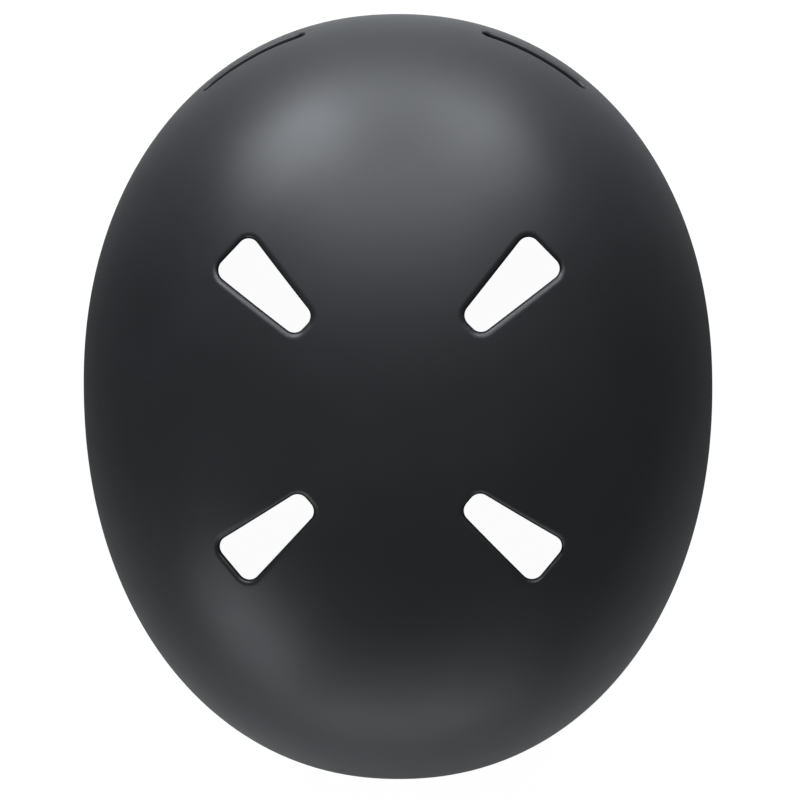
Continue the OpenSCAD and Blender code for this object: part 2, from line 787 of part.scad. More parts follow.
module dial_profile() {
    r = dial_diameter/2;
    c = 2;
    difference() {
        union() {
            square([r - c, dial_depth]);
            square([r, dial_depth - c]);
            translate([r - c, dial_depth - c]) circle(c, $fn = 32);
        }
        translate([hub_radius, -1]) square([click_radius - hub_radius, click_depth + 1]);
        translate([-c - 1, -1]) square([c + 1, dial_depth + 2]);
    }
}

module dial_screw() color(steel)
    along_dial(dial_foot + dial_depth - 0.3) difference() {
        union() {
            translate([0, 0, -screw_head]) cylinder(h = screw_head, r = 1.8*screw_radius);
            translate([0, 0, -dial_depth + 0.3 + hub_depth - screw_depth + 0.6])
                cylinder(h = dial_depth - hub_depth + screw_depth - 0.9 - screw_head/2,
                    r = screw_radius - 0.35);
        }
        translate([0, 0, -0.6*screw_head])
            cylinder(h = screw_head, r = 0.9*screw_radius, $fn = 6);
    }

// Click spring: a ring round the dial's hub with two noses that point at the click ring
module click_spring() color(steel) along_dial(housing_out + bond) {
    difference() {
        cylinder(h = spring_wall, r = hub_radius + play + spring_ring);
        translate([0, 0, -1]) cylinder(h = spring_wall + 2, r = hub_radius + play);
    }
    for (k = [0, 1]) rotate([0, 0, 180*k + 90])
        translate([hub_radius + play + spring_ring - 0.3, -1.2, 0])
        cube([click_radius - 0.6 - play - hub_radius - play - spring_ring + 0.3, 2.4,
            spring_wall]);
}

// Strip that holds the ring's height, on a foot on top of the dial housing
module height_ladder() color(black_plastic) difference() {
    union() {
        swung(ladder_radius - ladder_wall/2, ladder_radius + ladder_wall/2, ladder_width,
            ladder_foot, ladder_top);
        swung(foot_radius, ladder_radius, ladder_width + 2*foot_side, ladder_foot,
            ladder_foot + foot_turn);
        intersection() {
            swung(foot_radius, housing_out - 0.4, ladder_width + 3*foot_side, -2*ring_tilt,
                ladder_foot + 0.85*foot_turn);
            in_ring() translate([-ladder_width, 0, housing_height/2 + bond])
                cube([2*ladder_width, 2*ring_out, housing_height]);
        }
    }
    for (k = [0:ladder_steps])
        swung(ladder_radius - ladder_wall, ladder_radius + ladder_wall, ladder_width - 6,
            anchor_middle + k*ladder_drop/ladder_steps - 0.9,
            anchor_middle + k*ladder_drop/ladder_steps + 0.9);
    for (side = [-1, 1]) translate([side*(ladder_width/2 - ladder_corner), 0, 0])
        at_swing(ladder_top - turn_of(ladder_corner, ladder_radius), ladder_radius)
        difference() {
            translate([side > 0 ? 0 : -2*ladder_corner, -2*ladder_corner, -2*ladder_wall])
                cube([2*ladder_corner, 2*ladder_corner, 4*ladder_wall]);
            cylinder(h = 5*ladder_wall, r = ladder_corner - corner_step, center = true,
                $fn = 32);
        }
}

// Spot on a circle round the temple pivots, z pointing outward
module at_swing(at, r) translate([0, ring_y, pivot_height]) rotate([at, 0, 0])
    translate([0, r, 0]) rotate([-90, 0, 0]) children();

// Clip on the liner that the ladder slides through, with two plugs in the foam
module height_anchor() color(black_plastic) difference() {
    union() {
        intersection() {
            translate([-anchor_width/2, ring_y + 50, anchor_low])
                cube([anchor_width, anchor_back - ring_y - 50, anchor_high - anchor_low]);
            swung(anchor_in, 2*ladder_radius, anchor_width, anchor_middle - 30,
                anchor_middle + 30);
        }
        for (side = [-1, 1]) translate([side*anchor_width/4, anchor_back - EPS,
            (anchor_low + anchor_high)/2]) rotate([-90, 0, 0])
            cylinder(h = plug_depth, r = plug_radius);
    }
    swung(ladder_radius - ladder_wall/2 - play, ladder_radius + ladder_wall/2 + play,
        ladder_width + 2*play, anchor_middle - 20, anchor_middle + 20);
    swung(anchor_in - 5, ladder_radius, ladder_width - 4, anchor_middle - 20,
        anchor_middle + 20);
}

module anchor_holes() for (side = [-1, 1])
    translate([side*anchor_width/4, anchor_back - 4, (anchor_low + anchor_high)/2])
    rotate([-90, 0, 0]) cylinder(h = plug_depth + 4 + bond, r = plug_radius + 1.3*bond, $fn = 24);

// Guide at a temple: it holds a band at radius r and turns on the temple pin
module temple_guide(r) difference() {
    half = guide_length/2;
    lip = band_width/2 + play;
    inner = r - band_wall/2 - play;
    outer = r + band_wall/2 + play;
    union() {
        in_ring() {
            bent(outer, outer + guide_wall, -ring_half, ring_half,
                -turn_of(half, r), turn_of(half, r));
            for (side = [0, 1]) mirror([0, 0, side]) {
                bent(inner - guide_wall, outer + EPS, lip, ring_half,
                    -turn_of(half, r), turn_of(half, r));
                bent(inner - guide_wall, inner, lip - 2, lip + EPS,
                    -turn_of(half, r), turn_of(half, r));
            }
        }
        translate([outer, ring_y, pivot_height]) rotate([0, 90, 0])
            cylinder(h = temple_x - play - outer, r = boss_radius);
    }
    in_ring() bent(inner, outer, -lip, lip, -20, 20);
    translate([outer - 2, ring_y, pivot_height]) rotate([0, 90, 0])
        cylinder(h = 10, r = pin_radius + fit);
}

module temple_guide_left() color(black_plastic) temple_guide(inner_band);
module temple_guide_right() color(black_plastic) mirror([1, 0, 0]) temple_guide(outer_band);

// Pins in the liner that the guides turn on
module temple_pins() color(black_plastic) for (side = [0, 1]) mirror([side, 0, 0])
    translate([0, ring_y, pivot_height]) rotate([0, 90, 0]) {
        band_out = (side == 0 ? inner_band : outer_band) + band_wall/2;
        translate([0, 0, band_out + 2*play]) cylinder(h = temple_x - band_out, r = pin_radius);
        translate([0, 0, temple_x]) cylinder(h = pin_flange, r = flange_radius);
        translate([0, 0, temple_x]) cylinder(h = pin_depth, r = plug_radius);
    }

module pin_holes() for (side = [0, 1]) mirror([side, 0, 0])
    translate([0, ring_y, pivot_height]) rotate([0, 90, 0]) {
        translate([0, 0, temple_x - 5]) cylinder(h = pin_flange + 5 + bond,
            r = flange_radius + 2*bond, $fn = 24);
        translate([0, 0, temple_x])
            cylinder(h = pin_depth + bond, r = plug_radius + bond, $fn = 24);
    }

// Cushion on the head's side of the dial housing
module nape_pad() color(pad_grey) in_ring() cushion(function(s, top)
    [for (p = oblong(s)) let (
        r = cover_in - bond - (top ? nape_pad_wall*crown(s) : 0),
        a = 90 + p[0]*turn_of(nape_pad_length/2, cover_in))
    [r*cos(a), r*sin(a), p[1]*nape_pad_height/2]]);

// Profile of a side strap from its pocket down and in over the table: [x, z] at length u
function strap_profile(u, side_top) =
    let (fall = side_top - strap_floor - strap_bend, bow = strap_bend*PI/2)
    u < fall ? [strap_out, side_top - u]
    : u < fall + bow ? let (a = (u - fall)/strap_bend*180/PI)
        [strap_out - strap_bend*(1 - cos(a)), strap_floor + strap_bend*(1 - sin(a))]
    : [strap_out - strap_bend - (u - fall - bow), strap_floor];

// Direction square to that profile
function strap_normal(u, side_top) =
    let (p = strap_profile(u - 0.05, side_top), q = strap_profile(u + 0.05, side_top))
    [-(q[1] - p[1]), q[0] - p[0]]/norm(q - p);

// A side strap: straight when laid flat, bent over the profile, with its end in the
// divider; y0 to y1 is its drift
module side_strap(top, y0, y1) {
    far = strap_length(top);
    steps = 22;
    lean = [far, y1 - y0]/norm([far, y1 - y0]);
    looped_tube([for (k = [0:steps + 1]) let (m = min(k, steps), part = share(m, steps),
            s = far*m/steps + (k > steps ? strap_bite : 0), y = y0 + (y1 - y0)*m/steps)
        [for (c = [[-1, -1], [1, -1], [1, 1], [-1, 1]])
            let (u = s - c[0]*lean[1]*web_width/2*part,
                 v = y + c[0]*web_width/2*(part*lean[0] + 1 - part),
                 p = strap_profile(u, top) + strap_normal(u, top)*c[1]*web_wall/2)
            [p[0], v, p[1]]]]);
}

// Ends are cut square to the pocket and the divider
function share(k, steps) = min(1, min(k, steps - k)/3);

function strap_length(top) = top - strap_floor - strap_bend + strap_bend*PI/2
    + strap_out - strap_bend - divider_out;

// Rings of four joined in turn with flat ends
module looped_tube(rings) {
    n = len(rings[0]);
    last = (len(rings) - 1)*n;
    polyhedron(flatten(rings), concat([[0, 1, 2], [0, 2, 3]],
        [for (i = [0:len(rings) - 2]) each strip(i, i + 1, n)],
        [[last + 2, last + 1, last], [last + 3, last + 2, last]]), convexity = 6);
}

module strap_front_left() color(web_black) side_strap(front_top, chin_y - strap_spread,
    chin_y - divider_pitch/2);
module strap_rear_left() color(web_black) side_strap(rear_top, chin_y + strap_spread,
    chin_y + divider_pitch/2);
module strap_front_right() mirror([1, 0, 0]) strap_front_left();
module strap_rear_right() mirror([1, 0, 0]) strap_rear_left();

// Pockets in the liner for the tops of the side straps, and the blocks that hold them
module at_pockets() for (sx = [0, 1], way = [-1, 1]) mirror([sx, 0, 0])
    translate([strap_out, chin_y + way*strap_spread, way < 0 ? front_top : rear_top])
    children();

// Angle at which a side strap leaves its pocket
function strap_lean(top) = atan((strap_spread - divider_pitch/2)/strap_length(top));

module strap_pockets() {
    at_pockets() translate([-block_wall/2 - bond, -web_width/2 - slot_side, -2*bond])
        cube([block_wall + 2*bond, web_width + 2*slot_side, anchor_block + 3*bond]);
    for (sx = [0, 1], way = [-1, 1]) mirror([sx, 0, 0]) {
        top = way < 0 ? front_top : rear_top;
        translate([strap_out, chin_y + way*strap_spread, top])
            rotate([-way*strap_lean(top), 0, 0])
            translate([-web_wall/2 - slot_room, -web_width/2 - slot_side, -1.3*top])
            cube([web_wall + 2*slot_room, web_width + 2*slot_side,
                1.3*top + 0.8*anchor_block]);
        mouth_z = strap_floor + strap_bend + web_wall/2;
        mouth_y = strap_spread - tan(strap_lean(top))*(top - mouth_z);
        translate([strap_out - strap_bend - 2*web_wall,
            chin_y + way*(mouth_y - mouth_drift) - web_width/2 - mouth_side, 0])
            cube([strap_bend + 2.5*web_wall + slot_room, web_width + 2*mouth_side, mouth_z]);
    }
}

module strap_anchors() color(black_plastic) at_pockets() difference() {
    translate([-block_wall/2, -web_width/2 - 1, bond])
        cube([block_wall, web_width + 2, anchor_block - bond]);
    translate([0, 0, anchor_block/2]) rotate([90, 0, 0])
        cylinder(h = web_width - 4, r = 1.2, center = true);
}

// Plan of a divider, wide end outward, drawn in by inset
module divider_plan(inset = 0) {
    w = divider_wide/2 - inset;
    n = divider_narrow/2 - inset;
    c = divider_corner;
    polygon([[divider_out - inset, -w + c], [divider_out - inset, w - c],
        [divider_out - inset - c, w], [divider_in + inset + c, n],
        [divider_in + inset, n - c], [divider_in + inset, -n + c],
        [divider_in + inset + c, -n], [divider_out - inset - c, -w]]);
}

module web_gap(x1, x2, y) translate([x1, y - web_width/2 - play, strap_floor - web_wall/2 - bond])
    cube([x2 - x1, web_width + 2*play, web_wall + 2*bond]);

// Divider: a tray that joins both side straps to the chin strap under a hinged lever
module divider_left() color(black_plastic) translate([0, chin_y, 0]) difference() {
    translate([0, 0, divider_low]) linear_extrude(divider_wall) divider_plan();
    translate([0, 0, lever_under - play]) linear_extrude(divider_wall) intersection() {
        divider_plan(divider_rim);
        translate([divider_in, -divider_wide]) square([divider_length, 2*divider_wide]);
    }
    translate([divider_out - divider_rim - 1, -divider_wide/4, lever_under - play])
        cube([divider_rim + 2, divider_wide/2, divider_wall]);
    translate([hinge_x, 0, hinge_z]) rotate([90, 0, 0])
        cylinder(h = barrel_length + 2*play, r = barrel_radius + play, center = true);
    translate([hinge_x, 0, hinge_z]) rotate([90, 0, 0])
        cylinder(h = barrel_length + 2*journal_length + play, r = lever_pin + fit, center = true);
    for (side = [-1, 1])
        web_gap(divider_out - strap_bite - bond, divider_out + 1, side*divider_pitch/2);
    web_gap(divider_in - 1, divider_in + strap_bite + bond, 0);
}

module divider_lever_left() color(black_plastic) translate([0, chin_y, 0]) {
    difference() {
        translate([0, 0, lever_under]) linear_extrude(divider_low + divider_wall - lever_under)
            intersection() {
                union() {
                    divider_plan(divider_rim + play);
                    translate([divider_out - divider_rim - 1, -divider_wide/4 + play])
                        square([divider_rim, divider_wide/2 - 2*play]);
                }
                translate([hinge_x, -divider_wide]) square([divider_length, 2*divider_wide]);
            }
        for (k = [0:2]) translate([divider_out - divider_rim - 3 - 2.2*k, 0,
            divider_low + divider_wall]) rotate([90, 0, 0])
            cylinder(h = divider_wide/3, r = 0.6, center = true, $fn = 24);
    }
    translate([hinge_x, 0, hinge_z]) rotate([90, 0, 0]) {
        cylinder(h = barrel_length, r = barrel_radius, center = true);
        cylinder(h = barrel_length + 2*journal_length - play, r = lever_pin, center = true);
    }
}

module divider_right() mirror([1, 0, 0]) divider_left();
module divider_lever_right() mirror([1, 0, 0]) divider_lever_left();

function arc(x, z, r, a, b, steps = 8) =
    [for (k = [0:steps]) let (t = a + (b - a)*k/steps) [x + r*cos(t), z + r*sin(t)]];

// Middle line of a chin strap: out of the divider, folded twice, round the buckle's bar
function chin_path() = concat(
    [[divider_in + strap_bite, strap_floor]],
    arc(fold_in, strap_floor + fold_radius, fold_radius, 270, 90),
    arc(fold_out, strap_floor + 3*fold_radius, fold_radius, -90, 90),
    [[fold_in, strap_floor + 4*fold_radius]],
    arc(bar_x, bar_z, loop_radius, 90, 270),
    [[bar_x + 3, bar_z - loop_radius]]);

// A path in x and z with a wall of thickness w
function thickened(path, w) = let (n = len(path),
        side = [for (i = [0:n - 1]) let (d = path[min(i + 1, n - 1)] - path[max(i - 1, 0)])
            [-d[1], d[0]]*w/2/norm(d)])
    concat([for (i = [0:n - 1]) path[i] + side[i]],
        [for (i = [n - 1:-1:0]) path[i] - side[i]]);

module chin_strap_left() color(web_black) translate([0, chin_y + web_width/2, 0])
    rotate([90, 0, 0]) linear_extrude(web_width) polygon(thickened(chin_path(), web_wall));
module chin_strap_right() mirror([1, 0, 0]) chin_strap_left();

// Rubber loops that hold each strap's folds together
module strap_keepers() color(black_rubber) for (side = [0, 1]) mirror([side, 0, 0])
    translate([(fold_in + fold_out)/2 - keeper_width/2, chin_y,
        strap_floor + 2*fold_radius]) rotate([90, 0, 90])
    linear_extrude(keeper_width) difference() {
        keeper_plan(bond + keeper_wall);
        keeper_plan(bond);
    }

module keeper_plan(grow)
    square([web_width + 2*grow, 4*fold_radius + web_wall + 2*grow], center = true);

// Oblong block along X with round long edges, for both halves of the buckle
module buckle_block(x1, x2, width, wall, c) intersection() {
    translate([0, chin_y, bar_z]) rotate([90, 0, 90]) translate([0, 0, x1])
        linear_extrude(x2 - x1) round_oblong(width, wall, c);
    translate([(x1 + x2)/2, chin_y, 0]) linear_extrude(2*bar_z)
        round_oblong(x2 - x1, width, c);
}

module round_oblong(w, h, c) {
    for (sx = [-1, 1], sy = [-1, 1]) translate([sx*(w/2 - c), sy*(h/2 - c)])
        circle(c, $fn = 32);
    square([w, h - 2*c], center = true);
    square([w - 2*c, h], center = true);
}

module buckle_box(x1, x2, width, wall) translate([x1, chin_y - width/2, bar_z - wall/2])
    cube([x2 - x1, width, wall]);

// Round bar that the webbing loops round, at distance x
module web_bar(x) translate([x, chin_y, bar_z]) rotate([90, 0, 0])
    cylinder(h = web_width + 2, r = bar_radius, center = true);

module buckle_socket() color(black_plastic) {
    difference() {
        buckle_block(mouth_x, buckle_end, buckle_width, buckle_wall, 2.4);
        buckle_box(mouth_x - 1, cavity_end, cavity_width, cavity_height);
        buckle_box(window_start, cavity_end, buckle_width + 2, cavity_height);
        buckle_box(eye_start, buckle_end + 1, web_width + 2*play, buckle_wall + 2);
    }
    web_bar(bar_x);
}

module buckle_plug() color(black_plastic) {
    difference() {
        union() {
            buckle_block(-buckle_end, mouth_x - play, buckle_width, buckle_wall, 2.4);
            buckle_box(mouth_x - play - 3, mouth_x + 3, cavity_width - 2*play,
                cavity_height - 2*play);
        }
        buckle_box(-buckle_end - 1, -eye_start, web_width + 2*play, buckle_wall + 2);
        for (side = [-1, 1]) translate([prong_x, chin_y + side*prong_out,
            bar_z - prong_wall/2 - play]) {
            cylinder(h = prong_wall + 2*play, r = prong_root + play);
            translate([0, side > 0 ? -prong_root - 1.3 : -prong_root - 0.9, 0])
                cube([8, 2*prong_root + 2.2, prong_wall + 2*play]);
        }
    }
    web_bar(-bar_x);
    buckle_box(mouth_x, tongue_end, tongue_width, prong_wall);
    for (side = [-1, 1]) translate([prong_x, chin_y + side*prong_out, bar_z])
        cylinder(h = prong_wall + 2*play + 1, r = prong_pin, center = true);
}

// Prong with a barbed head; way is 1 behind the tongue and -1 ahead of it
module prong(way) translate([prong_x, chin_y, bar_z - prong_wall/2])
    mirror([0, way < 0 ? 1 : 0, 0]) difference() {
        linear_extrude(prong_wall) union() {
            translate([0, prong_out]) circle(prong_root);
            polygon([[0, prong_out + prong_root], [0, prong_out - prong_root + 0.4],
                each [for (p = head_outline) [prong_length - p[0], head_out - p[1]]]]);
        }
        translate([0, prong_out, -1]) cylinder(h = prong_wall + 2, r = prong_pin + fit);
    }

module prong_rear() color(black_plastic) prong(1);
module prong_front() color(black_plastic) prong(-1);

outer_shell();
foam_liner();
rim_trim();
brow_pad();
crown_pad();
side_pad_left();
side_pad_right();
rear_pad_left();
rear_pad_right();
hook_dots();
strap_anchors();
strap_front_left();
strap_front_right();
strap_rear_left();
strap_rear_right();
divider_left();
divider_right();
divider_lever_left();
divider_lever_right();
chin_strap_left();
chin_strap_right();
strap_keepers();
buckle_socket();
buckle_plug();
prong_front();
prong_rear();
band_left();
band_right();
pinion();
dial();
dial_screw();
click_spring();
dial_housing();
housing_cover();
cover_screws();
height_ladder();
height_anchor();
temple_guide_left();
temple_guide_right();
temple_pins();
nape_pad();
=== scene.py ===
"""Looks of the bicycle helmet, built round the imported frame. Lengths in the helpers are in mm."""
import json
import math
import bpy
import bmesh
import numpy as np
from mathutils import Matrix, Vector, geometry


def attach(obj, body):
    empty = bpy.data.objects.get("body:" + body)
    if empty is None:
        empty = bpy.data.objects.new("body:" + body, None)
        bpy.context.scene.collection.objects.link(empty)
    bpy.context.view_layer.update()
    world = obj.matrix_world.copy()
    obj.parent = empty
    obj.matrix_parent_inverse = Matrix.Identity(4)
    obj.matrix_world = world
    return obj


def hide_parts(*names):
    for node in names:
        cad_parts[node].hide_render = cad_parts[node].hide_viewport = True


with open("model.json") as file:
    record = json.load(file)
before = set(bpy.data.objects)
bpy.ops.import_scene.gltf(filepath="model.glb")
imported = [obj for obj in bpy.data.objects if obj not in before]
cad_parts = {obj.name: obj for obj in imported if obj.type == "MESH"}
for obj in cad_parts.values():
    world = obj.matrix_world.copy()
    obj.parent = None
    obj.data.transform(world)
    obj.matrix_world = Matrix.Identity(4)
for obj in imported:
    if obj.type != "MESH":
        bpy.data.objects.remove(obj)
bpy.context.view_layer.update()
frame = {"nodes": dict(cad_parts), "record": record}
MM = 0.001
TAU = 2 * math.pi

# Sizes that the part's source names, in mm
WIDTH, LENGTH, HEIGHT, PLAN, POWER = 220.0, 268.0, 158.0, 2.12, 2.2
GIRTH, SHIFT, TUCK = 62.0, 4.0, 7.0
EAR, NAPE, BROW = (24.0, 42.0), (9.0, 34.0), (6.0, 36.0)
TRIM_WALL, TRIM_LEG, TRIM_FOOT, BOND = 1.2, 5.0, 9.0, 0.15
SHELL_WALL, LINER_OUT, LINER_IN, LINER_LIP = 2.5, 2.65, 24.65, 9.0
VENT = dict(length=35.0, wide=17.0, narrow=10.0, corner=3.8, out=40.0)
VENT_REVEAL = 0.6
# How far each vent's middle lies behind the origin, and its turn, for the rear pair and the front pair
VENT_BACK = {1: 42.0, -1: -39.5}
VENT_TURN = {1: 44.0, -1: 40.0}
SLOT_LONG, SLOT_TURN = 40.0, 23.0
SLOT_HEIGHTS = {1: 84.5, -1: 50.0}
# The slots are lower here than the source's slot_height of 8 mm, to look nearer to the photo's thin lines
SLOT_TALL = 6.5


# The surfaces of the shell and the liner
def plan(phi, inset=0.0):
    c, s = np.cos(phi), np.sin(phi)
    a = WIDTH / 2 - inset
    b = LENGTH / 2 - inset + np.where(s < 0, SHIFT, -SHIFT)
    return (np.abs(c / a) ** PLAN + np.abs(s / b) ** PLAN) ** (-1 / PLAN)


def tuck(z):
    return TUCK * (np.maximum(0, GIRTH - z) / GIRTH) ** 2


def skin(phi, z, inset=0.0):
    up = np.clip((z - GIRTH) / (HEIGHT - inset - GIRTH), 0, 1)
    return plan(phi, inset) * (1 - up ** POWER) ** (1 / POWER) - np.where(z < GIRTH, tuck(z), 0)


def arch(phi, middle, span):
    d = np.abs((np.degrees(phi) - middle + 540) % 360 - 180)
    return np.where(d < span, (1 + np.cos(np.pi * d / span)) / 2, 0)


def edge(phi):
    rise = EAR[0] * (arch(phi, 0, EAR[1]) + arch(phi, 180, EAR[1]))
    rise = rise + NAPE[0] * arch(phi, 90, NAPE[1]) + BROW[0] * arch(phi, 270, BROW[1])
    return rise + TRIM_WALL + 2 * BOND


# A point of a surface by its map place: u from 0 at the crown over 1 at the girth to 2 at the edge
def lift(phi, u, inset=0.0, low=None):
    t = np.pi / 2 * (1 - np.clip(u, 0, 1))
    r = plan(phi, inset) * np.cos(t) ** (2 / POWER)
    z = GIRTH + (HEIGHT - inset - GIRTH) * np.sin(t) ** (2 / POWER)
    bottom = edge(phi) if low is None else low(phi)
    zl = GIRTH - np.clip(u - 1, 0, None) * (GIRTH - bottom)
    below = u > 1
    z = np.where(below, zl, z)
    r = np.where(below, plan(phi, inset) - tuck(zl), r)
    return np.stack([r * np.cos(phi), SHIFT + r * np.sin(phi), z], -1)


def map_place(points, inset=0.0, low=None):
    x, y, z = points[:, 0], points[:, 1] - SHIFT, points[:, 2]
    phi = np.arctan2(y, x)
    s = np.clip(np.hypot(x, y) / plan(phi, inset), 0, 1)
    u = 1 - np.arccos(s ** (POWER / 2)) / (np.pi / 2)
    bottom = edge(phi) if low is None else low(phi)
    u = np.where(z < GIRTH, 1 + (GIRTH - z) / (GIRTH - bottom), u)
    return phi, u


# Outlines of the vents on a surface, widened by grow
def rounded(corners, radius, grow, steps=10):
    """Loop round circles of one radius, counter-clockwise, with the same number of points for any grow."""
    out, n = [], len(corners)
    for i in range(n):
        p, c, q = (np.array(corners[k % n], float) for k in (i - 1, i, i + 1))
        a = math.atan2(*(c - p)[::-1]) - math.pi / 2
        b = math.atan2(*(q - c)[::-1]) - math.pi / 2
        turn = (b - a) % TAU
        for k in range(steps + 1):
            t = a + turn * k / steps
            out.append(c + radius * np.array([math.cos(t), math.sin(t)]))
    flat = dense(np.array(out), 1.6)
    along = np.roll(flat, -1, 0) - np.roll(flat, 1, 0)
    return flat + grow * np.stack([along[:, 1], -along[:, 0]], 1) / np.linalg.norm(along, axis=1)[:, None]


def dense(loop, step):
    """The loop with points added so that none of its sides is longer than step."""
    out = []
    for p, q in zip(loop, np.roll(loop, -1, 0)):
        n = max(1, math.ceil(np.linalg.norm(q - p) / step))
        out += [p + (q - p) * k / n for k in range(n)]
    return np.array(out)


def crown_loop(sx, sy, grow, inset):
    half, c = VENT["length"] / 2, VENT["corner"]
    flat = rounded([(half - c, -(VENT["wide"] / 2 - c)), (half - c, VENT["wide"] / 2 - c),
                    (c - half, VENT["narrow"] / 2 - c), (c - half, c - VENT["narrow"] / 2)], c, grow)
    a = math.radians(sx * sy * VENT_TURN[sy] + (180 if sx < 0 else 0))
    x = sx * VENT["out"] + flat[:, 0] * math.cos(a) - flat[:, 1] * math.sin(a)
    y = VENT_BACK[sy] + flat[:, 0] * math.sin(a) + flat[:, 1] * math.cos(a)
    phi = np.arctan2(y - SHIFT, x)
    s = np.hypot(x, y - SHIFT) / plan(phi, inset)
    z = GIRTH + (HEIGHT - inset - GIRTH) * (1 - s ** POWER) ** (1 / POWER)
    return np.stack([x, y, z], 1)


def side_loop(sx, sy, grow, inset):
    end, run = SLOT_TALL / 2, (SLOT_LONG - SLOT_TALL) / 2
    flat = rounded([(-run, 0), (run, 0)], end, grow, 18)
    a = math.radians(SLOT_TURN)
    way = np.array([sx * math.sin(a), sy * math.cos(a)])
    across = np.array([-way[1], way[0]])
    z = SLOT_HEIGHTS[sy] + flat[:, 1]
    near, far = np.full(len(flat), WIDTH / 4), np.full(len(flat), float(LENGTH))
    for _ in range(50):
        t = (near + far) / 2
        p = flat[:, :1] * across + t[:, None] * way
        out = np.hypot(p[:, 0], p[:, 1]) > skin(np.arctan2(p[:, 1], p[:, 0]), z, inset)
        near, far = np.where(out, near, t), np.where(out, t, far)
    return np.stack([p[:, 0], p[:, 1] + SHIFT, z], 1)


VENTS = [(f, sx, sy) for f in (crown_loop, side_loop) for sx in (-1, 1) for sy in (-1, 1)]


# Mesh making
def piece(name, points, faces, material, smooth=True, body="helmet", replaces=()):
    mesh = bpy.data.meshes.new(name)
    mesh.from_pydata((np.asarray(points, float) * MM).tolist(), [], [list(f) for f in faces])
    mesh.validate()
    whole = bmesh.new()
    whole.from_mesh(mesh)
    bmesh.ops.recalc_face_normals(whole, faces=whole.faces)
    whole.to_mesh(mesh)
    whole.free()
    mesh.polygons.foreach_set("use_smooth", [smooth] * len(mesh.polygons))
    mesh.update()
    obj = bpy.data.objects.new(name, mesh)
    bpy.context.scene.collection.objects.link(obj)
    obj.data.materials.append(material)
    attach(obj, body)
    if replaces:
        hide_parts(*replaces)
    return obj


# Rough radius of the plan and rough way from crown to girth, in mm. They set how fine the mesh is
ROUND, OUTWARD = 115, 150


class Builder:
    """Collects points and faces of one mesh."""

    def __init__(self):
        self.points, self.faces = [], []

    def add(self, points):
        start = len(self.points)
        self.points += [tuple(p) for p in points]
        return list(range(start, start + len(points)))

    def turn(self, i):
        """Direction of point i round the helmet, from 0 to TAU."""
        return math.atan2(self.points[i][1] - SHIFT, self.points[i][0]) % TAU

    def bridge(self, a, b):
        """Faces between two closed rows of the same length."""
        n = len(a)
        for i in range(n):
            j = (i + 1) % n
            self.faces.append((a[i], a[j], b[j], b[i]))

    def fill(self, loops, spacing, inset, u_end, flip, low=None, shape=None):
        """The surface between the vents: loops are rows of points already added, on that surface."""
        flats, edges, known = [], [], []
        for row in loops:
            phi, u = map_place(np.array([self.points[i] for i in row]), inset, low)
            start = len(flats)
            flats += list(zip(u * np.cos(phi), u * np.sin(phi)))
            edges += [(start + k, start + (k + 1) % len(row)) for k in range(len(row))]
            known += row
        loop_places = [np.array(flats[sum(len(r) for r in loops[:i]):][:len(row)])
                       for i, row in enumerate(loops)]
        count = int(round(TAU * ROUND / spacing))
        steps = int(round(u_end * OUTWARD / spacing))
        for k in range(1, steps + 1):
            u = u_end * k / steps
            n = max(6, int(round(count * min(1, u * 1.05)))) if k < steps else count
            turn = TAU * (np.arange(n) + 0.5 * (k % 2)) / n
            ring = np.stack([u * np.cos(turn), u * np.sin(turn)], 1)
            if k < steps:
                ring = ring[~near_any(ring, loop_places, 0.55 * spacing / OUTWARD)]
            else:
                rim = list(range(len(flats), len(flats) + n))
            flats += [tuple(q) for q in ring]
            known += [None] * len(ring)
        flats.append((0.0, 0.0))
        known.append(None)
        edges += [(rim[i], rim[(i + 1) % len(rim)]) for i in range(len(rim))]
        out = geometry.delaunay_2d_cdt([Vector(p) for p in flats], edges, [], 0, 1e-7)
        verts, faces, origin = out[0], out[2], out[3]
        places = np.array([tuple(v) for v in verts])
        phi, u = np.arctan2(places[:, 1], places[:, 0]), np.hypot(places[:, 0], places[:, 1])
        lifted = lift(phi, u, inset, low)
        if shape is not None:
            lifted = shape(phi, u, lifted)
        index = []
        for i, source in enumerate(origin):
            old = next((known[k] for k in source if known[k] is not None), None)
            if old is None:
                old = len(self.points)
                self.points.append(tuple(lifted[i]))
            index.append(old)
        where = {s: index[i] for i, source in enumerate(origin) for s in source}
        middles = np.array([places[list(f)].mean(0) for f in faces])
        for f, hole in zip(faces, near_any(middles, loop_places, -1)):
            if not hole:
                face = [index[i] for i in f]
                self.faces.append(face[::-1] if flip else face)
        return [where[k] for k in rim]


def near_any(points, loops, gap):
    """Which points lie inside one of the loops, or nearer to it than gap."""
    found = np.zeros(len(points), bool)
    for loop in loops:
        reach = np.abs(loop - loop.mean(0)).max() + max(gap, 0)
        close = np.flatnonzero((np.abs(points - loop.mean(0)) < reach).all(1))
        if not len(close):
            continue
        p, a, b = points[close][:, None], loop[None], np.roll(loop, -1, 0)[None]
        span = (a[..., 1] > p[..., 1]) != (b[..., 1] > p[..., 1])
        with np.errstate(divide="ignore", invalid="ignore"):
            x = (b[..., 0] - a[..., 0]) * (p[..., 1] - a[..., 1]) / (b[..., 1] - a[..., 1]) + a[..., 0]
        hit = (span & (p[..., 0] < x)).sum(1) % 2 == 1
        if gap > 0:
            hit |= np.hypot(*(p - a).transpose(2, 0, 1)).min(1) < gap
        found[close] |= hit
    return found


# The hard shell: smooth outer and inner faces, and a rolled edge round each vent
VENT_ROLL, SLOT_ROLL = 2.1, 0.7


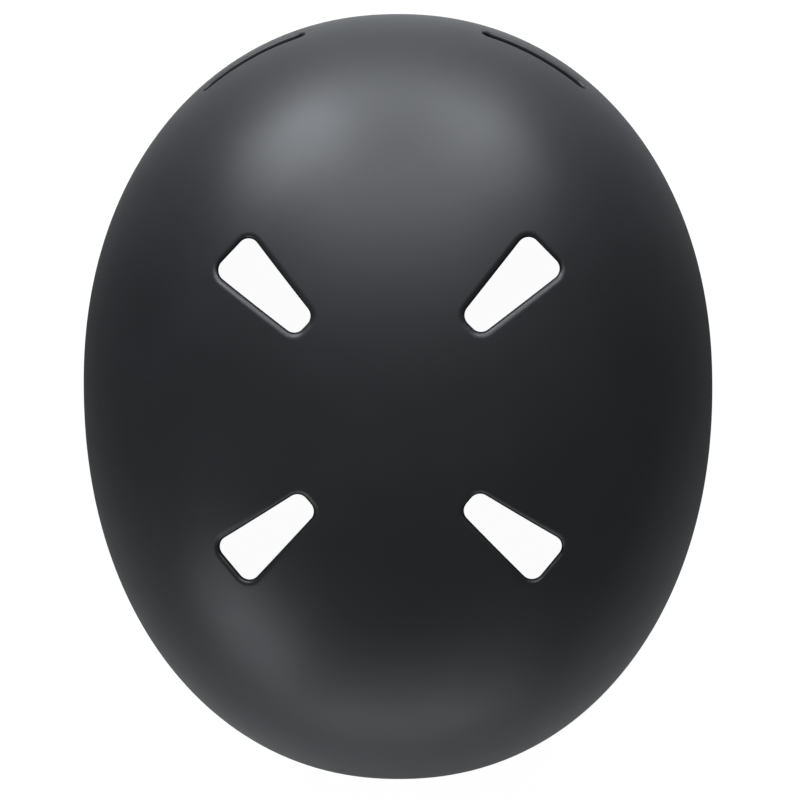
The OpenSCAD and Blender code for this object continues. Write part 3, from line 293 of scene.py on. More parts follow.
def make_shell(material):
    b = Builder()
    outer, inner = [], []
    for f, sx, sy in VENTS:
        roll = VENT_ROLL if f is crown_loop else SLOT_ROLL
        rows = []
        for k in range(7):
            t = math.pi / 2 * k / 6
            rows.append(b.add(f(sx, sy, roll * (1 - math.sin(t)), roll * (1 - math.cos(t)))))
        rows.append(b.add(f(sx, sy, 0.0, SHELL_WALL)))
        for wider in (0.35, 1.2, 2.6):
            rows.insert(0, b.add(f(sx, sy, roll + wider, 0.0)))
        for a, c in zip(rows, rows[1:]):
            b.bridge(a, c)
        outer.append(rows[0])
        inner.append(rows[-1])
    top = b.fill(outer, 2.8, 0.0, 2.0, False)
    low = b.fill(inner, 6.0, SHELL_WALL, 2.0, True)
    join(b, top, low)
    return piece("shell", b.points, b.faces, material, replaces=["outer_shell"])


def join(b, one, two):
    """Triangles between two closed rows of different lengths, both running counter-clockwise."""
    one, two = sorted(one, key=b.turn), sorted(two, key=b.turn)
    i = j = 0
    while i < len(one) or j < len(two):
        a, c = one[i % len(one)], two[j % len(two)]
        ta = b.turn(one[(i + 1) % len(one)]) + (TAU if i + 1 >= len(one) else 0)
        tc = b.turn(two[(j + 1) % len(two)]) + (TAU if j + 1 >= len(two) else 0)
        if j >= len(two) or (i < len(one) and ta <= tc):
            b.faces.append((a, c, one[(i + 1) % len(one)]))
            i += 1
        else:
            b.faces.append((a, c, two[(j + 1) % len(two)]))
            j += 1


# The foam liner: inner face with air channels, rounded lip, vent walls, and pockets for the straps
CHANNEL_WIDE, CHANNEL_DEEP, CHANNEL_SOFT = 12.0, 6.0, 4.0
LINER_ROLL = 1.2
# The vent walls lean outward on their way in, as the mould's cores do
VENT_DRAFT, SLOT_DRAFT = 4.0, 1.5


def lip_edge(phi):
    return edge(phi) + LINER_LIP


def channel_share(points):
    """How deep the air channel is at points of the inner face, from 0 to 1."""
    x, y, z = np.abs(points[:, 0]) - VENT["out"], points[:, 1], points[:, 2]
    half, soft = CHANNEL_WIDE / 2, CHANNEL_SOFT
    side = np.clip((half + soft / 2 - np.abs(x)) / soft, 0, 1)
    end = np.clip((VENT_BACK[1] + 3 - y) / soft, 0, 1) * np.clip((y - VENT_BACK[-1] + 3) / soft, 0, 1)
    share = side * end * (z > GIRTH + 1)
    return share * share * (3 - 2 * share)


def grooved(phi, u, lifted):
    return lift(phi, u, LINER_IN - CHANNEL_DEEP * channel_share(lifted), lip_edge)


def make_liner(material):
    b = Builder()
    inner, outer = [], []
    for f, sx, sy in VENTS:
        rows = []
        draft = VENT_DRAFT if f is crown_loop else SLOT_DRAFT
        face = f(sx, sy, VENT_REVEAL + draft + LINER_ROLL, LINER_IN)
        deep = LINER_IN - CHANNEL_DEEP * channel_share(face)
        for k in range(5):
            t = math.pi / 2 * k / 4
            rows.append(b.add(f(sx, sy, VENT_REVEAL + draft + LINER_ROLL * (1 - math.sin(t)),
                                deep - LINER_ROLL * (1 - math.cos(t)))))
        for k in range(1, 6):
            at = deep - LINER_ROLL
            rows.append(b.add(f(sx, sy, VENT_REVEAL + draft * (5 - k) / 5, at + k * (LINER_OUT - at) / 5)))
        for a, c in zip(rows, rows[1:]):
            b.bridge(c, a)
        inner.append(rows[0])
        outer.append(rows[-1])
    low = b.fill(inner, 2.0, LINER_IN, 2.0, True, lip_edge, grooved)
    top = b.fill(outer, 7.0, LINER_OUT, 2.0, False)
    low = sorted(low, key=b.turn)
    phi = np.array([b.turn(i) for i in low])
    start, end = (LINER_IN, LINER_LIP), (TRIM_FOOT + 1, 0.0)
    last = low
    for k in range(1, 9):
        t = k / 8
        inset = start[0] + (end[0] - start[0]) * t
        rise = start[1] * (1 - t) ** 1.5
        z = edge(phi) + rise
        r = plan(phi, inset) - tuck(z)
        row = b.add(np.stack([r * np.cos(phi), SHIFT + r * np.sin(phi), z], 1))
        b.bridge(row, last)
        last = row
    join(b, top, last)
    return piece("liner", b.points, b.faces, material, replaces=["foam_liner"])


# The rubber trim: a soft profile swept round the edge
def make_trim(material):
    phi = np.linspace(0, TAU, 360, endpoint=False)
    z = edge(phi)
    top, low = z + TRIM_LEG, z - TRIM_WALL - 2 * BOND
    wall = plan(phi) + BOND
    foot = plan(phi, TRIM_FOOT) - tuck(z)
    rows = []
    for share, out in [(0.0, 0.0), (0.12, 0.55), (0.3, 0.85), (0.6, 0.97), (0.9, 1.0)]:
        h = top - share * (TRIM_LEG - 0.5)
        rows.append((wall + TRIM_WALL * out - tuck(h), h))
    for k in range(7):
        t = math.pi / 2 * k / 6
        rows.append((wall - tuck(low) + TRIM_WALL * (math.cos(t)), z - (TRIM_WALL + 2 * BOND) * math.sin(t)))
    for share in (0.25, 0.5, 0.8, 0.97):
        rows.append(((wall - tuck(low)) * (1 - share) + foot * share, low))
    rows += [(foot, low + 0.3), (foot, z - 2 * BOND)]
    rows.append((wall - 0.4 - tuck(z), z - 2 * BOND))
    b = Builder()
    made = [b.add(np.stack([r * np.cos(phi), SHIFT + r * np.sin(phi), h], 1)) for r, h in rows]
    for a, c in zip(made, made[1:] + made[:1]):
        b.bridge(c, a)
    return piece("edge_trim", b.points, b.faces, material, replaces=["rim_trim"])


# Pads: crowned cushions with a welded border, on the liner's inner face. The border's width, the walls at it
# and at a seam, how far a seam's hollow reaches, and the share of its size by which a side pulls in
PAD_BORDER, PAD_EDGE, SEAM_WALL, SEAM_REACH, PULL_IN = 3.4, 0.7, 1.6, 5.5, 0.045
PAD_WALL, PAD_GAP, RING_Y, PIVOT, TILT, NAPE_RADIUS = 6.0, 0.75, 12.7068, 41.0, 14.0, 75.4469


def wall_spot(phi0, z0, length, height, mirror=1):
    turn = length / 2 / float(skin(np.array(math.radians(phi0)), GIRTH, LINER_IN))

    def at(p, q, w):
        phi, z = math.radians(phi0) + turn * p, z0 + height / 2 * q
        r = skin(phi, z, LINER_IN + PAD_GAP + w)
        return np.stack([mirror * r * np.cos(phi), SHIFT + r * np.sin(phi), z], -1)
    return at


def roof_spot(y0, length, width):
    def at(p, q, w):
        x, y, inset = width / 2 * p, y0 + length / 2 * q, LINER_IN + PAD_GAP + w
        phi = np.arctan2(y - SHIFT, x)
        share = np.clip(np.hypot(x, y - SHIFT) / plan(phi, inset), 0, 1)
        z = GIRTH + (HEIGHT - inset - GIRTH) * (1 - share ** POWER) ** (1 / POWER)
        return np.stack([x, y, z], -1)
    return at


def ring_frame(points):
    """From the fit ring's own frame to the helmet's."""
    a = math.radians(TILT)
    y, z = points[..., 1], points[..., 2]
    return np.stack([points[..., 0], RING_Y + y * math.cos(a) + z * math.sin(a),
                     PIVOT - y * math.sin(a) + z * math.cos(a)], -1)


def nape_spot(radius, length, height):
    def at(p, q, w):
        r, a = radius - BOND - w, np.pi / 2 + p * length / 2 / radius
        return ring_frame(np.stack([r * np.cos(a), r * np.sin(a), q * height / 2 + 0 * r], -1))
    return at


def make_pad(name, node, at, size, wall, flip, seams=(), body="helmet", power=4):
    """A pad over at(p, q, w). size is its length and height, seams are welded lines across it."""
    around, rings = 132, 26
    t = np.linspace(0, TAU, around, endpoint=False)
    c, n = np.cos(t), np.sin(t)
    r = (np.abs(c) ** power + np.abs(n) ** power) ** (-1 / power)
    pull = PULL_IN * min(size) * np.cos(2 * t) ** 2
    waist_x, waist_y = pull / size[0], pull / size[1]
    px, py = r * c, r * n
    border = PAD_BORDER / (min(size) / 2)
    b = Builder()
    layers, uv, held = [], [], []
    # It starts thinner, as the cloth swells it
    wall *= 0.9

    def puff(s, x, y):
        inner = np.clip((1 - s) / border, 0, 1)
        weld = 1 - border
        body_share = np.clip(1 - (s / weld) ** 5, 0, 1) ** 0.55
        lip = 1.25 - 0.55 * np.exp(-((inner - 1.0) / 0.22) ** 2)
        lip = lip * np.clip(inner / 0.12, 0, 1) ** 0.5
        full = np.where(s < weld, PAD_EDGE + (wall - PAD_EDGE) * body_share, lip)
        for at_x, at_y, way in seams:
            d = np.abs((x - at_x) * size[0] / 2 if way == "across" else (y - at_y) * size[1] / 2)
            near = np.clip(d / SEAM_REACH, 0, 1) ** 0.5
            full = np.minimum(full, SEAM_WALL + (wall - SEAM_WALL) * near + 10 * (s > weld))
        ripple = 0.16 * np.sin(31 * np.arctan2(y, x) + 4 * np.sin(5 * x)) * np.exp(-((weld - s) / 0.09) ** 2)
        soft = 0.10 * np.sin(7.1 * x * size[0] / 20 + 1.3) * np.sin(6.3 * y * size[1] / 20 + 0.4)
        return full + np.where(s < weld, (ripple + soft) * (wall / 6), 0)

    shares = np.concatenate([np.linspace(0, 0.80, rings - 12)[1:], np.linspace(0.82, 1, 13)])
    for s in shares[::-1]:
        x, y = s * px * (1 - waist_x * s), s * py * (1 - waist_y * s)
        layers.append(b.add(at(x, y, puff(np.full_like(x, s), x, y))))
        held += [float(s > 1 - 1.15 * border)] * around
        uv += list(zip(x * size[0] / 2, y * size[1] / 2))
    for s in (0.995, 0.8, 0.5, 0.25):
        x, y = s * px * (1 - waist_x * s), s * py * (1 - waist_y * s)
        layers.insert(0, b.add(at(x, y, np.zeros_like(x))))
        uv += list(zip(x * size[0] / 2, y * size[1] / 2))
    for a, k in zip(layers, layers[1:]):
        b.bridge(*((a, k) if not flip else (k, a)))
    zero = np.zeros(1)
    top = b.add(at(zero, zero, puff(zero, zero, zero)))[0]
    low = b.add(at(zero, zero, zero))[0]
    uv += [(0, 0), (0, 0)]
    held += [1.0] * (len(b.points) - 2 - len(held)) + [0.0, 1.0]
    for i in range(around):
        j = (i + 1) % around
        f, g = (layers[-1][i], layers[-1][j], top), (layers[0][j], layers[0][i], low)
        b.faces += [f, g] if not flip else [f[::-1], g[::-1]]
    obj = piece(name, b.points, b.faces, FABRIC, body=body, replaces=[node])
    set_uv(obj, uv)
    group = obj.vertex_groups.new(name="held")
    for i in np.flatnonzero(held):
        group.add([int(i)], 1.0, "REPLACE")
    return obj


# The cushions' covers swell against their welds. No point moves further than SWELL
SWELL = 1.1


def swell(pads):
    for obj in pads:
        cloth = obj.modifiers.new("cover", "CLOTH")
        c = cloth.settings
        c.quality, c.mass, c.air_damping = 6, 0.15, 4.0
        c.tension_stiffness = c.compression_stiffness = 6.0
        c.shear_stiffness, c.bending_stiffness = 3.0, 0.05
        c.use_pressure, c.uniform_pressure_force = True, 4.0
        c.effector_weights.gravity = 0.0
        c.vertex_group_mass = "held"
        cloth.collision_settings.use_collision = False
        cloth.point_cache.frame_start, cloth.point_cache.frame_end = 1, 20
    scene = bpy.context.scene
    for k in range(1, 21):
        scene.frame_set(k)
    ready = bpy.context.evaluated_depsgraph_get()
    for obj in pads:
        done = obj.evaluated_get(ready).to_mesh()
        was, now = np.zeros(len(obj.data.vertices) * 3), np.zeros(len(obj.data.vertices) * 3)
        obj.data.vertices.foreach_get("co", was)
        done.vertices.foreach_get("co", now)
        move = (now - was).reshape(-1, 3)
        far = np.linalg.norm(move, axis=1)[:, None]
        move *= np.tanh(far / (SWELL * MM)) * SWELL * MM / np.maximum(far, 1e-9)
        obj.data.vertices.foreach_set("co", was + move.ravel())
        obj.modifiers.clear()
        obj.data.update()
    scene.frame_set(1)


def set_uv(obj, uv):
    """UVs in mm, given per point."""
    layer = obj.data.uv_layers.new(name="uv")
    uv = np.array(uv, float)
    index = np.zeros(len(obj.data.loops), np.int32)
    obj.data.loops.foreach_get("vertex_index", index)
    layer.data.foreach_set("uv", uv[index].ravel())


def make_pads():
    """The cushions. Each row: name, node, place, length and height, flip, seams."""
    brow_z = BROW[0] + TRIM_WALL + LINER_LIP + 14.5
    side_z = PIVOT + 29.6
    rear_z = SLOT_HEIGHTS[1] - 18
    rows = [("brow_cushion", "brow_pad", wall_spot(270, brow_z, 130, 25), (130, 25), False,
             [(-0.42, 0, "across"), (0.42, 0, "across")]),
            ("crown_cushion", "crown_pad", roof_spot(0, 92, 38), (38, 92), True,
             [(0, -0.36, "along"), (0, 0.36, "along")])]
    for tag, way in (("left", 1), ("right", -1)):
        rows.append(("side_cushion_" + tag, "side_pad_" + tag, wall_spot(0, side_z, 62, 34, way), (62, 34),
                     way < 0, [(0, 0, "across")]))
        rows.append(("rear_cushion_" + tag, "rear_pad_" + tag, wall_spot(62, rear_z, 40, 22, way), (40, 22),
                     way < 0, []))
    made = []
    for name, node, at, size, flip, seams in rows:
        power = 5 if node == "brow_pad" else 4
        made.append(make_pad(name, node, at, size, PAD_WALL, flip, seams, power=power))
    made.append(make_pad("nape_cushion", "nape_pad", nape_spot(NAPE_RADIUS, 33, 20), (33, 20), 4.0, False,
                         body="cradle"))
    swell(made)


# Webbing: each strap is a function of length s, side c from -1 to 1 and height h from -1 to 1
WEB_WIDE, WEB_WALL, CHIN_Y, STRAP_OUT, FLOOR, BEND, BITE = 16.0, 1.5, -7.9932, 88.0, 3.9, 6.0, 4.5
# How far the side straps lie from the chin strap at their roots and in the divider, and their roots' heights
ROOT_SPREAD, MOUTH_SPREAD, ROOT_TOP = 38.0, 9.3, {-1: 32.0, 1: 34.0}
# The divider's ends, the buckle's bar, and the folds of the chin strap: their ends and their radius
DIVIDER_IN, DIVIDER_OUT, BAR_X, BAR_Z, LOOP, FOLD_IN, FOLD_OUT, FOLD = 49, 72, 20, 5.3, 2.3, 27, 46, 1.05
# Half a strap slot's width through the webbing, the room beside the webbing, and its reach above the root
SLOT_HALF, SLOT_BESIDE, SLOT_OVER = 1.35, 1.5, 6.4


def side_strap(top, y0, y1, mirror):
    fall, bow = top - FLOOR - BEND, BEND * math.pi / 2
    far = fall + bow + STRAP_OUT - BEND - DIVIDER_OUT
    lean = np.array([far, y1 - y0]) / math.hypot(far, y1 - y0)

    def profile(u):
        a = np.clip((u - fall) / BEND, 0, math.pi / 2)
        x = STRAP_OUT - BEND * (1 - np.cos(a)) - np.clip(u - fall - bow, 0, None)
        z = np.where(u < fall, top - u, FLOOR + BEND * (1 - np.sin(a)))
        return x, z, a

    def at(s, c, h):
        inside = np.minimum(s, far)
        share = np.minimum(1, np.minimum(inside, far - inside) / (3 * far / 22))
        u = s - c * lean[1] * WEB_WIDE / 2 * share
        v = y0 + (y1 - y0) * inside / far + c * WEB_WIDE / 2 * (share * lean[0] + 1 - share)
        x, z, a = profile(u)
        x = x + np.cos(a) * h * WEB_WALL / 2
        z = z + np.sin(a) * h * WEB_WALL / 2 * -1
        return np.stack([mirror * x, v, z], -1)
    return at, far + BITE


def chin_path():
    def arc(x, z, r, a, b, n):
        t = np.radians(np.linspace(a, b, n))
        return [(x + r * math.cos(k), z + r * math.sin(k)) for k in t]
    return ([(DIVIDER_IN + 4.5, FLOOR)] + arc(FOLD_IN, FLOOR + FOLD, FOLD, 270, 90, 13)
            + arc(FOLD_OUT, FLOOR + 3 * FOLD, FOLD, -90, 90, 13) + [(FOLD_IN, FLOOR + 4 * FOLD)]
            + arc(BAR_X, BAR_Z, LOOP, 90, 270, 17) + [(BAR_X + 3, BAR_Z - LOOP)])


def along_path(path, mirror):
    path = np.array(path, float)
    step = np.hypot(*np.diff(path, axis=0).T)
    where = np.concatenate([[0], np.cumsum(step)])
    ahead = np.vstack([path[1] - path[0], path[2:] - path[:-2], path[-1] - path[-2]])
    normal = np.stack([-ahead[:, 1], ahead[:, 0]], 1) / np.hypot(*ahead.T)[:, None]

    def at(s, c, h):
        x = np.interp(s, where, path[:, 0])
        z = np.interp(s, where, path[:, 1])
        nx, nz = np.interp(s, where, normal[:, 0]), np.interp(s, where, normal[:, 1])
        size = np.hypot(nx, nz)
        return np.stack([mirror * (x + nx / size * h * WEB_WALL / 2), CHIN_Y + c * WEB_WIDE / 2 + 0 * x,
                         z + nz / size * h * WEB_WALL / 2], -1)
    return at, where[-1], where


def make_strap(name, node, at, stops, flip):
    """Flat webbing with rounded selvages along at(s, c, h) through the lengths in stops."""
    section = []
    for side in (1, -1):
        for k in range(5):
            t = math.pi / 2 * (k / 4 * 2 - 1)
            section.append((side * (1 - 0.05 * (1 - math.cos(t))), side * math.sin(t)))
        for c in (0.86, 0.8, 0.3, -0.3, -0.8, -0.86):
            section.append((side * c, side * (1.0 if abs(c) > 0.83 else 0.9)))
    b, uv, rows = Builder(), [], []
    for s in stops:
        c, h = np.array([k[0] for k in section]), np.array([k[1] for k in section])
        rows.append(b.add(at(np.full(len(c), s), c, h)))
        uv += [(k[0] * WEB_WIDE / 2 + (20 if k[1] < 0 else 0), s) for k in section]
    for a, k in zip(rows, rows[1:]):
        b.bridge(*((k, a) if flip else (a, k)))
    b.faces += [tuple(rows[0] if flip else rows[0][::-1]), tuple(rows[-1][::-1] if flip else rows[-1])]
    obj = piece(name, b.points, b.faces, WEB, replaces=[node])
    set_uv(obj, uv)
    return obj


def make_straps():
    for tag, way in (("left", 1), ("right", -1)):
        for end, side in (("front", -1), ("rear", 1)):
            root, mouth = CHIN_Y + side * ROOT_SPREAD, CHIN_Y + side * MOUTH_SPREAD
            at, far = side_strap(ROOT_TOP[side], root, mouth, way)
            make_strap(f"web_{end}_{tag}", f"strap_{end}_{tag}", at, np.linspace(0, far, 70), way > 0)
        at, far, where = along_path(chin_path(), way)
        stops = np.unique(np.concatenate([where, np.linspace(0, far, 60)]))
        make_strap("web_chin_" + tag, "chin_strap_" + tag, at, stops, way < 0)


# The slots in the liner that the side straps hang through, as the part's source cuts them
def cut_slots(liner):
    b = Builder()
    for way in (-1, 1):
        top = ROOT_TOP[way]
        long = top - FLOOR - BEND + BEND * math.pi / 2 + STRAP_OUT - BEND - DIVIDER_OUT
        lean = -way * math.atan((ROOT_SPREAD - MOUTH_SPREAD) / long)
        for mirror in (1, -1):
            half = WEB_WIDE / 2 + SLOT_BESIDE
            corners = [(x, y, z) for z in (-1.3 * top, SLOT_OVER) for x, y in
                       ((-SLOT_HALF, -half), (SLOT_HALF, -half), (SLOT_HALF, half), (-SLOT_HALF, half))]
            root = CHIN_Y + way * ROOT_SPREAD
            i = b.add([(mirror * (STRAP_OUT + x), root + y * math.cos(lean) - z * math.sin(lean),
                        top + y * math.sin(lean) + z * math.cos(lean)) for x, y, z in corners])
            b.bridge(i[:4], i[4:])
            b.faces += [tuple(i[3::-1]), tuple(i[4:])]
    cutter = piece("cutter", b.points, b.faces, FOAM, smooth=False)
    cut = liner.modifiers.new("slots", "BOOLEAN")
    cut.operation, cut.solver, cut.object = "DIFFERENCE", "EXACT", cutter
    bpy.context.view_layer.update()
    done = bpy.data.meshes.new_from_object(liner.evaluated_get(bpy.context.evaluated_depsgraph_get()))
    liner.modifiers.clear()
    liner.data = done
    bpy.data.objects.remove(cutter)
    done.polygons.foreach_set("use_smooth", [True] * len(done.polygons))
    done.set_sharp_from_angle(angle=math.radians(50))


# Sewing: bar tacks of short threads through the doubled webbing, at two distances from the middle
TACK_OUT, TACK_IN, TACK_HALF, TACK_STEP, TACK_THREADS = 43.5, 29.6, 5.7, 0.6, 20


def make_tacks():
    for tag, way in (("left", 1), ("right", -1)):
        b = Builder()
        low, high = FLOOR - WEB_WALL / 2 - 0.02, FLOOR + 4 * FOLD + WEB_WALL / 2 + 0.02
        for x, z, up in ((TACK_OUT, low, -1), (TACK_OUT, high, 1), (TACK_IN, low, -1)):
            for k in range(TACK_THREADS):
                y = CHIN_Y - TACK_HALF + TACK_STEP * k
                slant = 0.28 if k % 2 else -0.28
                thread(b, (way * (x - 1.0), y - slant, z), (way * (x + 1.0), y + slant, z), up)
            for side in (-1, 1):
                for k in range(6):
                    y = CHIN_Y - 5.6 + 2.0 * k
                    thread(b, (way * (x + 1.7 * side), y, z), (way * (x + 1.7 * side), y + 1.6, z), up)
        piece("tacks_" + tag, b.points, b.faces, THREAD)


def thread(b, start, end, up):
    """A short raised stitch whose ends dip into the cloth."""
    start, end = np.array(start), np.array(end)
    way = (end - start) / np.linalg.norm(end - start)
    side = np.array([-way[1], way[0], 0.0])
    rows = []
    for k in range(7):
        f = k / 6
        lift_by = math.sin(math.pi * f) ** 0.5 * 0.16 * up - 0.06 * up
        thick = 0.10 + 0.12 * math.sin(math.pi * f) ** 0.4
        middle = start + (end - start) * f + np.array([0, 0, lift_by])
        rows.append(b.add([middle + thick * (1.2 * math.cos(a) * side + math.sin(a) * np.array([0, 0, 1.0]))
                           for a in np.linspace(0, TAU, 6, endpoint=False)]))
    for a, c in zip(rows, rows[1:]):
        b.bridge(a, c)
    b.faces += [tuple(rows[0][::-1]), tuple(rows[-1])]


# Materials
def nodes_of(name):
    m = bpy.data.materials.new(name)
    m.use_nodes = True
    return m, m.node_tree, m.node_tree.nodes["Principled BSDF"]


def noise(t, coords, scale, detail=2.0, rough=0.5):
    n = t.nodes.new("ShaderNodeTexNoise")
    n.inputs["Scale"].default_value = scale
    n.inputs["Detail"].default_value = detail
    n.inputs["Roughness"].default_value = rough
    t.links.new(coords, n.inputs["Vector"])
    return n.outputs["Fac"]


def ramp(t, fac, low, high, a, b):
    r = t.nodes.new("ShaderNodeValToRGB")
    r.color_ramp.elements[0].position, r.color_ramp.elements[1].position = low, high
    r.color_ramp.elements[0].color, r.color_ramp.elements[1].color = (*a, 1), (*b, 1)
    t.links.new(fac, r.inputs["Fac"])
    return r.outputs["Color"]


def span(t, fac, low, high, a=0.0, b=1.0):
    """fac from a to b, stretched to run from low to high."""
    m = t.nodes.new("ShaderNodeMapRange")
    for key, v in (("From Min", a), ("From Max", b), ("To Min", low), ("To Max", high)):
        m.inputs[key].default_value = v
    t.links.new(fac, m.inputs["Value"])
    return m.outputs["Result"]


def bump(t, height, strength, distance, under=None):
    b = t.nodes.new("ShaderNodeBump")
    b.inputs["Strength"].default_value = strength
    b.inputs["Distance"].default_value = distance
    t.links.new(height, b.inputs["Height"])
    if under is not None:
        t.links.new(under, b.inputs["Normal"])
    return b.outputs["Normal"]


def moulded(name, color, rough, grain=1500.0, depth=0.00004, vary=0.12, spread=0.06, specular=0.5):
    """Moulded plastic or rubber: fine grain, slow changes of colour and gloss."""
    m, t, p = nodes_of(name)
    at = t.nodes.new("ShaderNodeTexCoord").outputs["Object"]
    dark = [c * (1 - vary) for c in color]
    light = [c * (1 + vary) for c in color]
    t.links.new(ramp(t, noise(t, at, 35.0, 4.0), 0.35, 0.65, dark, light), p.inputs["Base Color"])
    t.links.new(span(t, noise(t, at, 90.0, 3.0), rough - spread, rough + spread),
                p.inputs["Roughness"])
    p.inputs["Specular IOR Level"].default_value = specular
    t.links.new(bump(t, noise(t, at, grain, 2.0), 0.5, depth), p.inputs["Normal"])
    return m


def maths(t, kind, a, b=None):
    m = t.nodes.new("ShaderNodeMath")
    m.operation = kind
    for socket, v in zip(m.inputs, (a, b)):
        if isinstance(v, (int, float)):
            socket.default_value = v
        elif v is not None:
            t.links.new(v, socket)
    return m.outputs[0]


def wave(t, value, pitch, shift=0.0):
    """From 0 to 1 and back once in each pitch."""
    turned = maths(t, "SINE", maths(t, "ADD", maths(t, "MULTIPLY", value, TAU / pitch), shift))
    return maths(t, "ADD", maths(t, "MULTIPLY", turned, 0.5), 0.5)


def bead_foam(name, dark, light):
    """Expanded foam: beads about 3 mm across, pressed flat at the mould, with fine pits between them."""
    m, t, p = nodes_of(name)
    at = t.nodes.new("ShaderNodeTexCoord").outputs["Object"]
    edges, cells = t.nodes.new("ShaderNodeTexVoronoi"), t.nodes.new("ShaderNodeTexVoronoi")
    edges.feature, cells.feature = "DISTANCE_TO_EDGE", "F1"
    for n in (edges, cells):
        n.inputs["Scale"].default_value = 330.0
        t.links.new(at, n.inputs["Vector"])
    groove = span(t, edges.outputs["Distance"], 0.0, 1.0, 0.0, 0.12)
    bead = maths(t, "ADD", maths(t, "MULTIPLY", value_of(t, cells.outputs["Color"]), 0.5), 0.5)
    # Colour: each bead has its own random tone, and the pits between the beads are darker as painted shade
    tone = maths(t, "MULTIPLY", bead, maths(t, "ADD", maths(t, "MULTIPLY", groove, 0.35), 0.65))
    t.links.new(ramp(t, tone, 0.25, 1.0, dark, light), p.inputs["Base Color"])
    t.links.new(span(t, noise(t, at, 200.0, 3.0), 0.62, 0.8), p.inputs["Roughness"])
    p.inputs["Specular IOR Level"].default_value = 0.35
    first = bump(t, groove, 0.8, 0.00025)
    t.links.new(bump(t, noise(t, at, 2200.0, 2.0), 0.4, 0.00006, first), p.inputs["Normal"])
    return m


def value_of(t, color):
    parts = t.nodes.new("ShaderNodeSeparateColor")
    t.links.new(color, parts.inputs[0])
    return parts.outputs[0]


def flat_place(t):
    """The two flat coordinates of a fabric, in mm."""
    parts = t.nodes.new("ShaderNodeSeparateXYZ")
    t.links.new(t.nodes.new("ShaderNodeTexCoord").outputs["UV"], parts.inputs[0])
    return parts.outputs[0], parts.outputs[1]


def knit(name, dark, light):
    """Warp knit: columns of small loops, each column half a loop behind its neighbour, and a fine fuzz."""
    m, t, p = nodes_of(name)
    u, v = flat_place(t)
    column = maths(t, "FLOOR", maths(t, "DIVIDE", u, 0.9))
    odd = maths(t, "MULTIPLY", maths(t, "MODULO", column, 2.0), 0.6)
    ribs = wave(t, u, 0.9, -math.pi / 2)
    loops = wave(t, maths(t, "ADD", v, odd), 1.2)
    raised = maths(t, "ADD", maths(t, "MULTIPLY", loops, 0.55), 0.45)
    high = maths(t, "MULTIPLY", maths(t, "POWER", ribs, 0.6), raised)
    at = t.nodes.new("ShaderNodeTexCoord").outputs["Object"]
    fuzz = noise(t, at, 2600.0, 3.0, 0.7)
    slow = noise(t, at, 60.0, 3.0)
    # Colour: the raised loops are lighter and the hollows between them darker, as painted shade, with random
    # fuzz and slow changes of tone
    tone = maths(t, "ADD", maths(t, "MULTIPLY", high, 0.6),
                 maths(t, "ADD", maths(t, "MULTIPLY", fuzz, 0.25), maths(t, "MULTIPLY", slow, 0.2)))
    t.links.new(ramp(t, tone, 0.2, 0.85, dark, light), p.inputs["Base Color"])
    t.links.new(span(t, fuzz, 0.8, 0.95), p.inputs["Roughness"])
    p.inputs["Specular IOR Level"].default_value = 0.2
    p.inputs["Sheen Weight"].default_value = 0.35
    p.inputs["Sheen Roughness"].default_value = 0.4
    first = bump(t, high, 0.9, 0.00022)
    t.links.new(bump(t, fuzz, 0.4, 0.00008, first), p.inputs["Normal"])
    return m


def weave(name, dark, light):
    """Webbing: warp ribs along the strap, crossed by the weft in a twill, with tight selvages."""
    m, t, p = nodes_of(name)
    u, v = flat_place(t)
    rib = maths(t, "FLOOR", maths(t, "DIVIDE", u, 1.1))
    ribs = wave(t, u, 1.1, -math.pi / 2)
    weft = wave(t, maths(t, "ADD", v, maths(t, "MULTIPLY", maths(t, "MODULO", rib, 4.0), 0.55)), 2.2)
    raised = maths(t, "ADD", maths(t, "MULTIPLY", weft, 0.6), 0.4)
    high = maths(t, "MULTIPLY", maths(t, "POWER", ribs, 0.5), raised)
    at = t.nodes.new("ShaderNodeTexCoord").outputs["Object"]
    fuzz = noise(t, at, 3000.0, 2.0, 0.6)
    slow = noise(t, at, 45.0, 3.0)
    # Colour: the raised ribs and weft are lighter and the hollows between them darker, as painted shade,
    # with random fuzz and slow changes of tone
    tone = maths(t, "ADD", maths(t, "MULTIPLY", high, 0.6),
                 maths(t, "ADD", maths(t, "MULTIPLY", fuzz, 0.2), maths(t, "MULTIPLY", slow, 0.25)))
    t.links.new(ramp(t, tone, 0.2, 0.9, dark, light), p.inputs["Base Color"])
    t.links.new(span(t, fuzz, 0.6, 0.8), p.inputs["Roughness"])
    p.inputs["Specular IOR Level"].default_value = 0.3
    p.inputs["Sheen Weight"].default_value = 0.15
    first = bump(t, high, 0.9, 0.0003)
    t.links.new(bump(t, fuzz, 0.3, 0.00005, first), p.inputs["Normal"])
    return m


def hooks(name, dark, light):
    """Hook tape: rows of small stiff hooks."""
    m, t, p = nodes_of(name)
    at = t.nodes.new("ShaderNodeTexCoord").outputs["Object"]
    dots = t.nodes.new("ShaderNodeTexVoronoi")
    dots.inputs["Scale"].default_value = 900.0
    dots.inputs["Randomness"].default_value = 0.35
    t.links.new(at, dots.inputs["Vector"])
    high = span(t, dots.outputs["Distance"], 1.0, 0.0, 0.1, 0.5)
    # Colour: the hooks' tops are light and the ground between them dark, as painted shade
    t.links.new(ramp(t, high, 0.0, 1.0, dark, light), p.inputs["Base Color"])
    t.links.new(span(t, high, 0.8, 0.5), p.inputs["Roughness"])
    t.links.new(bump(t, high, 1.0, 0.0004), p.inputs["Normal"])
    return m


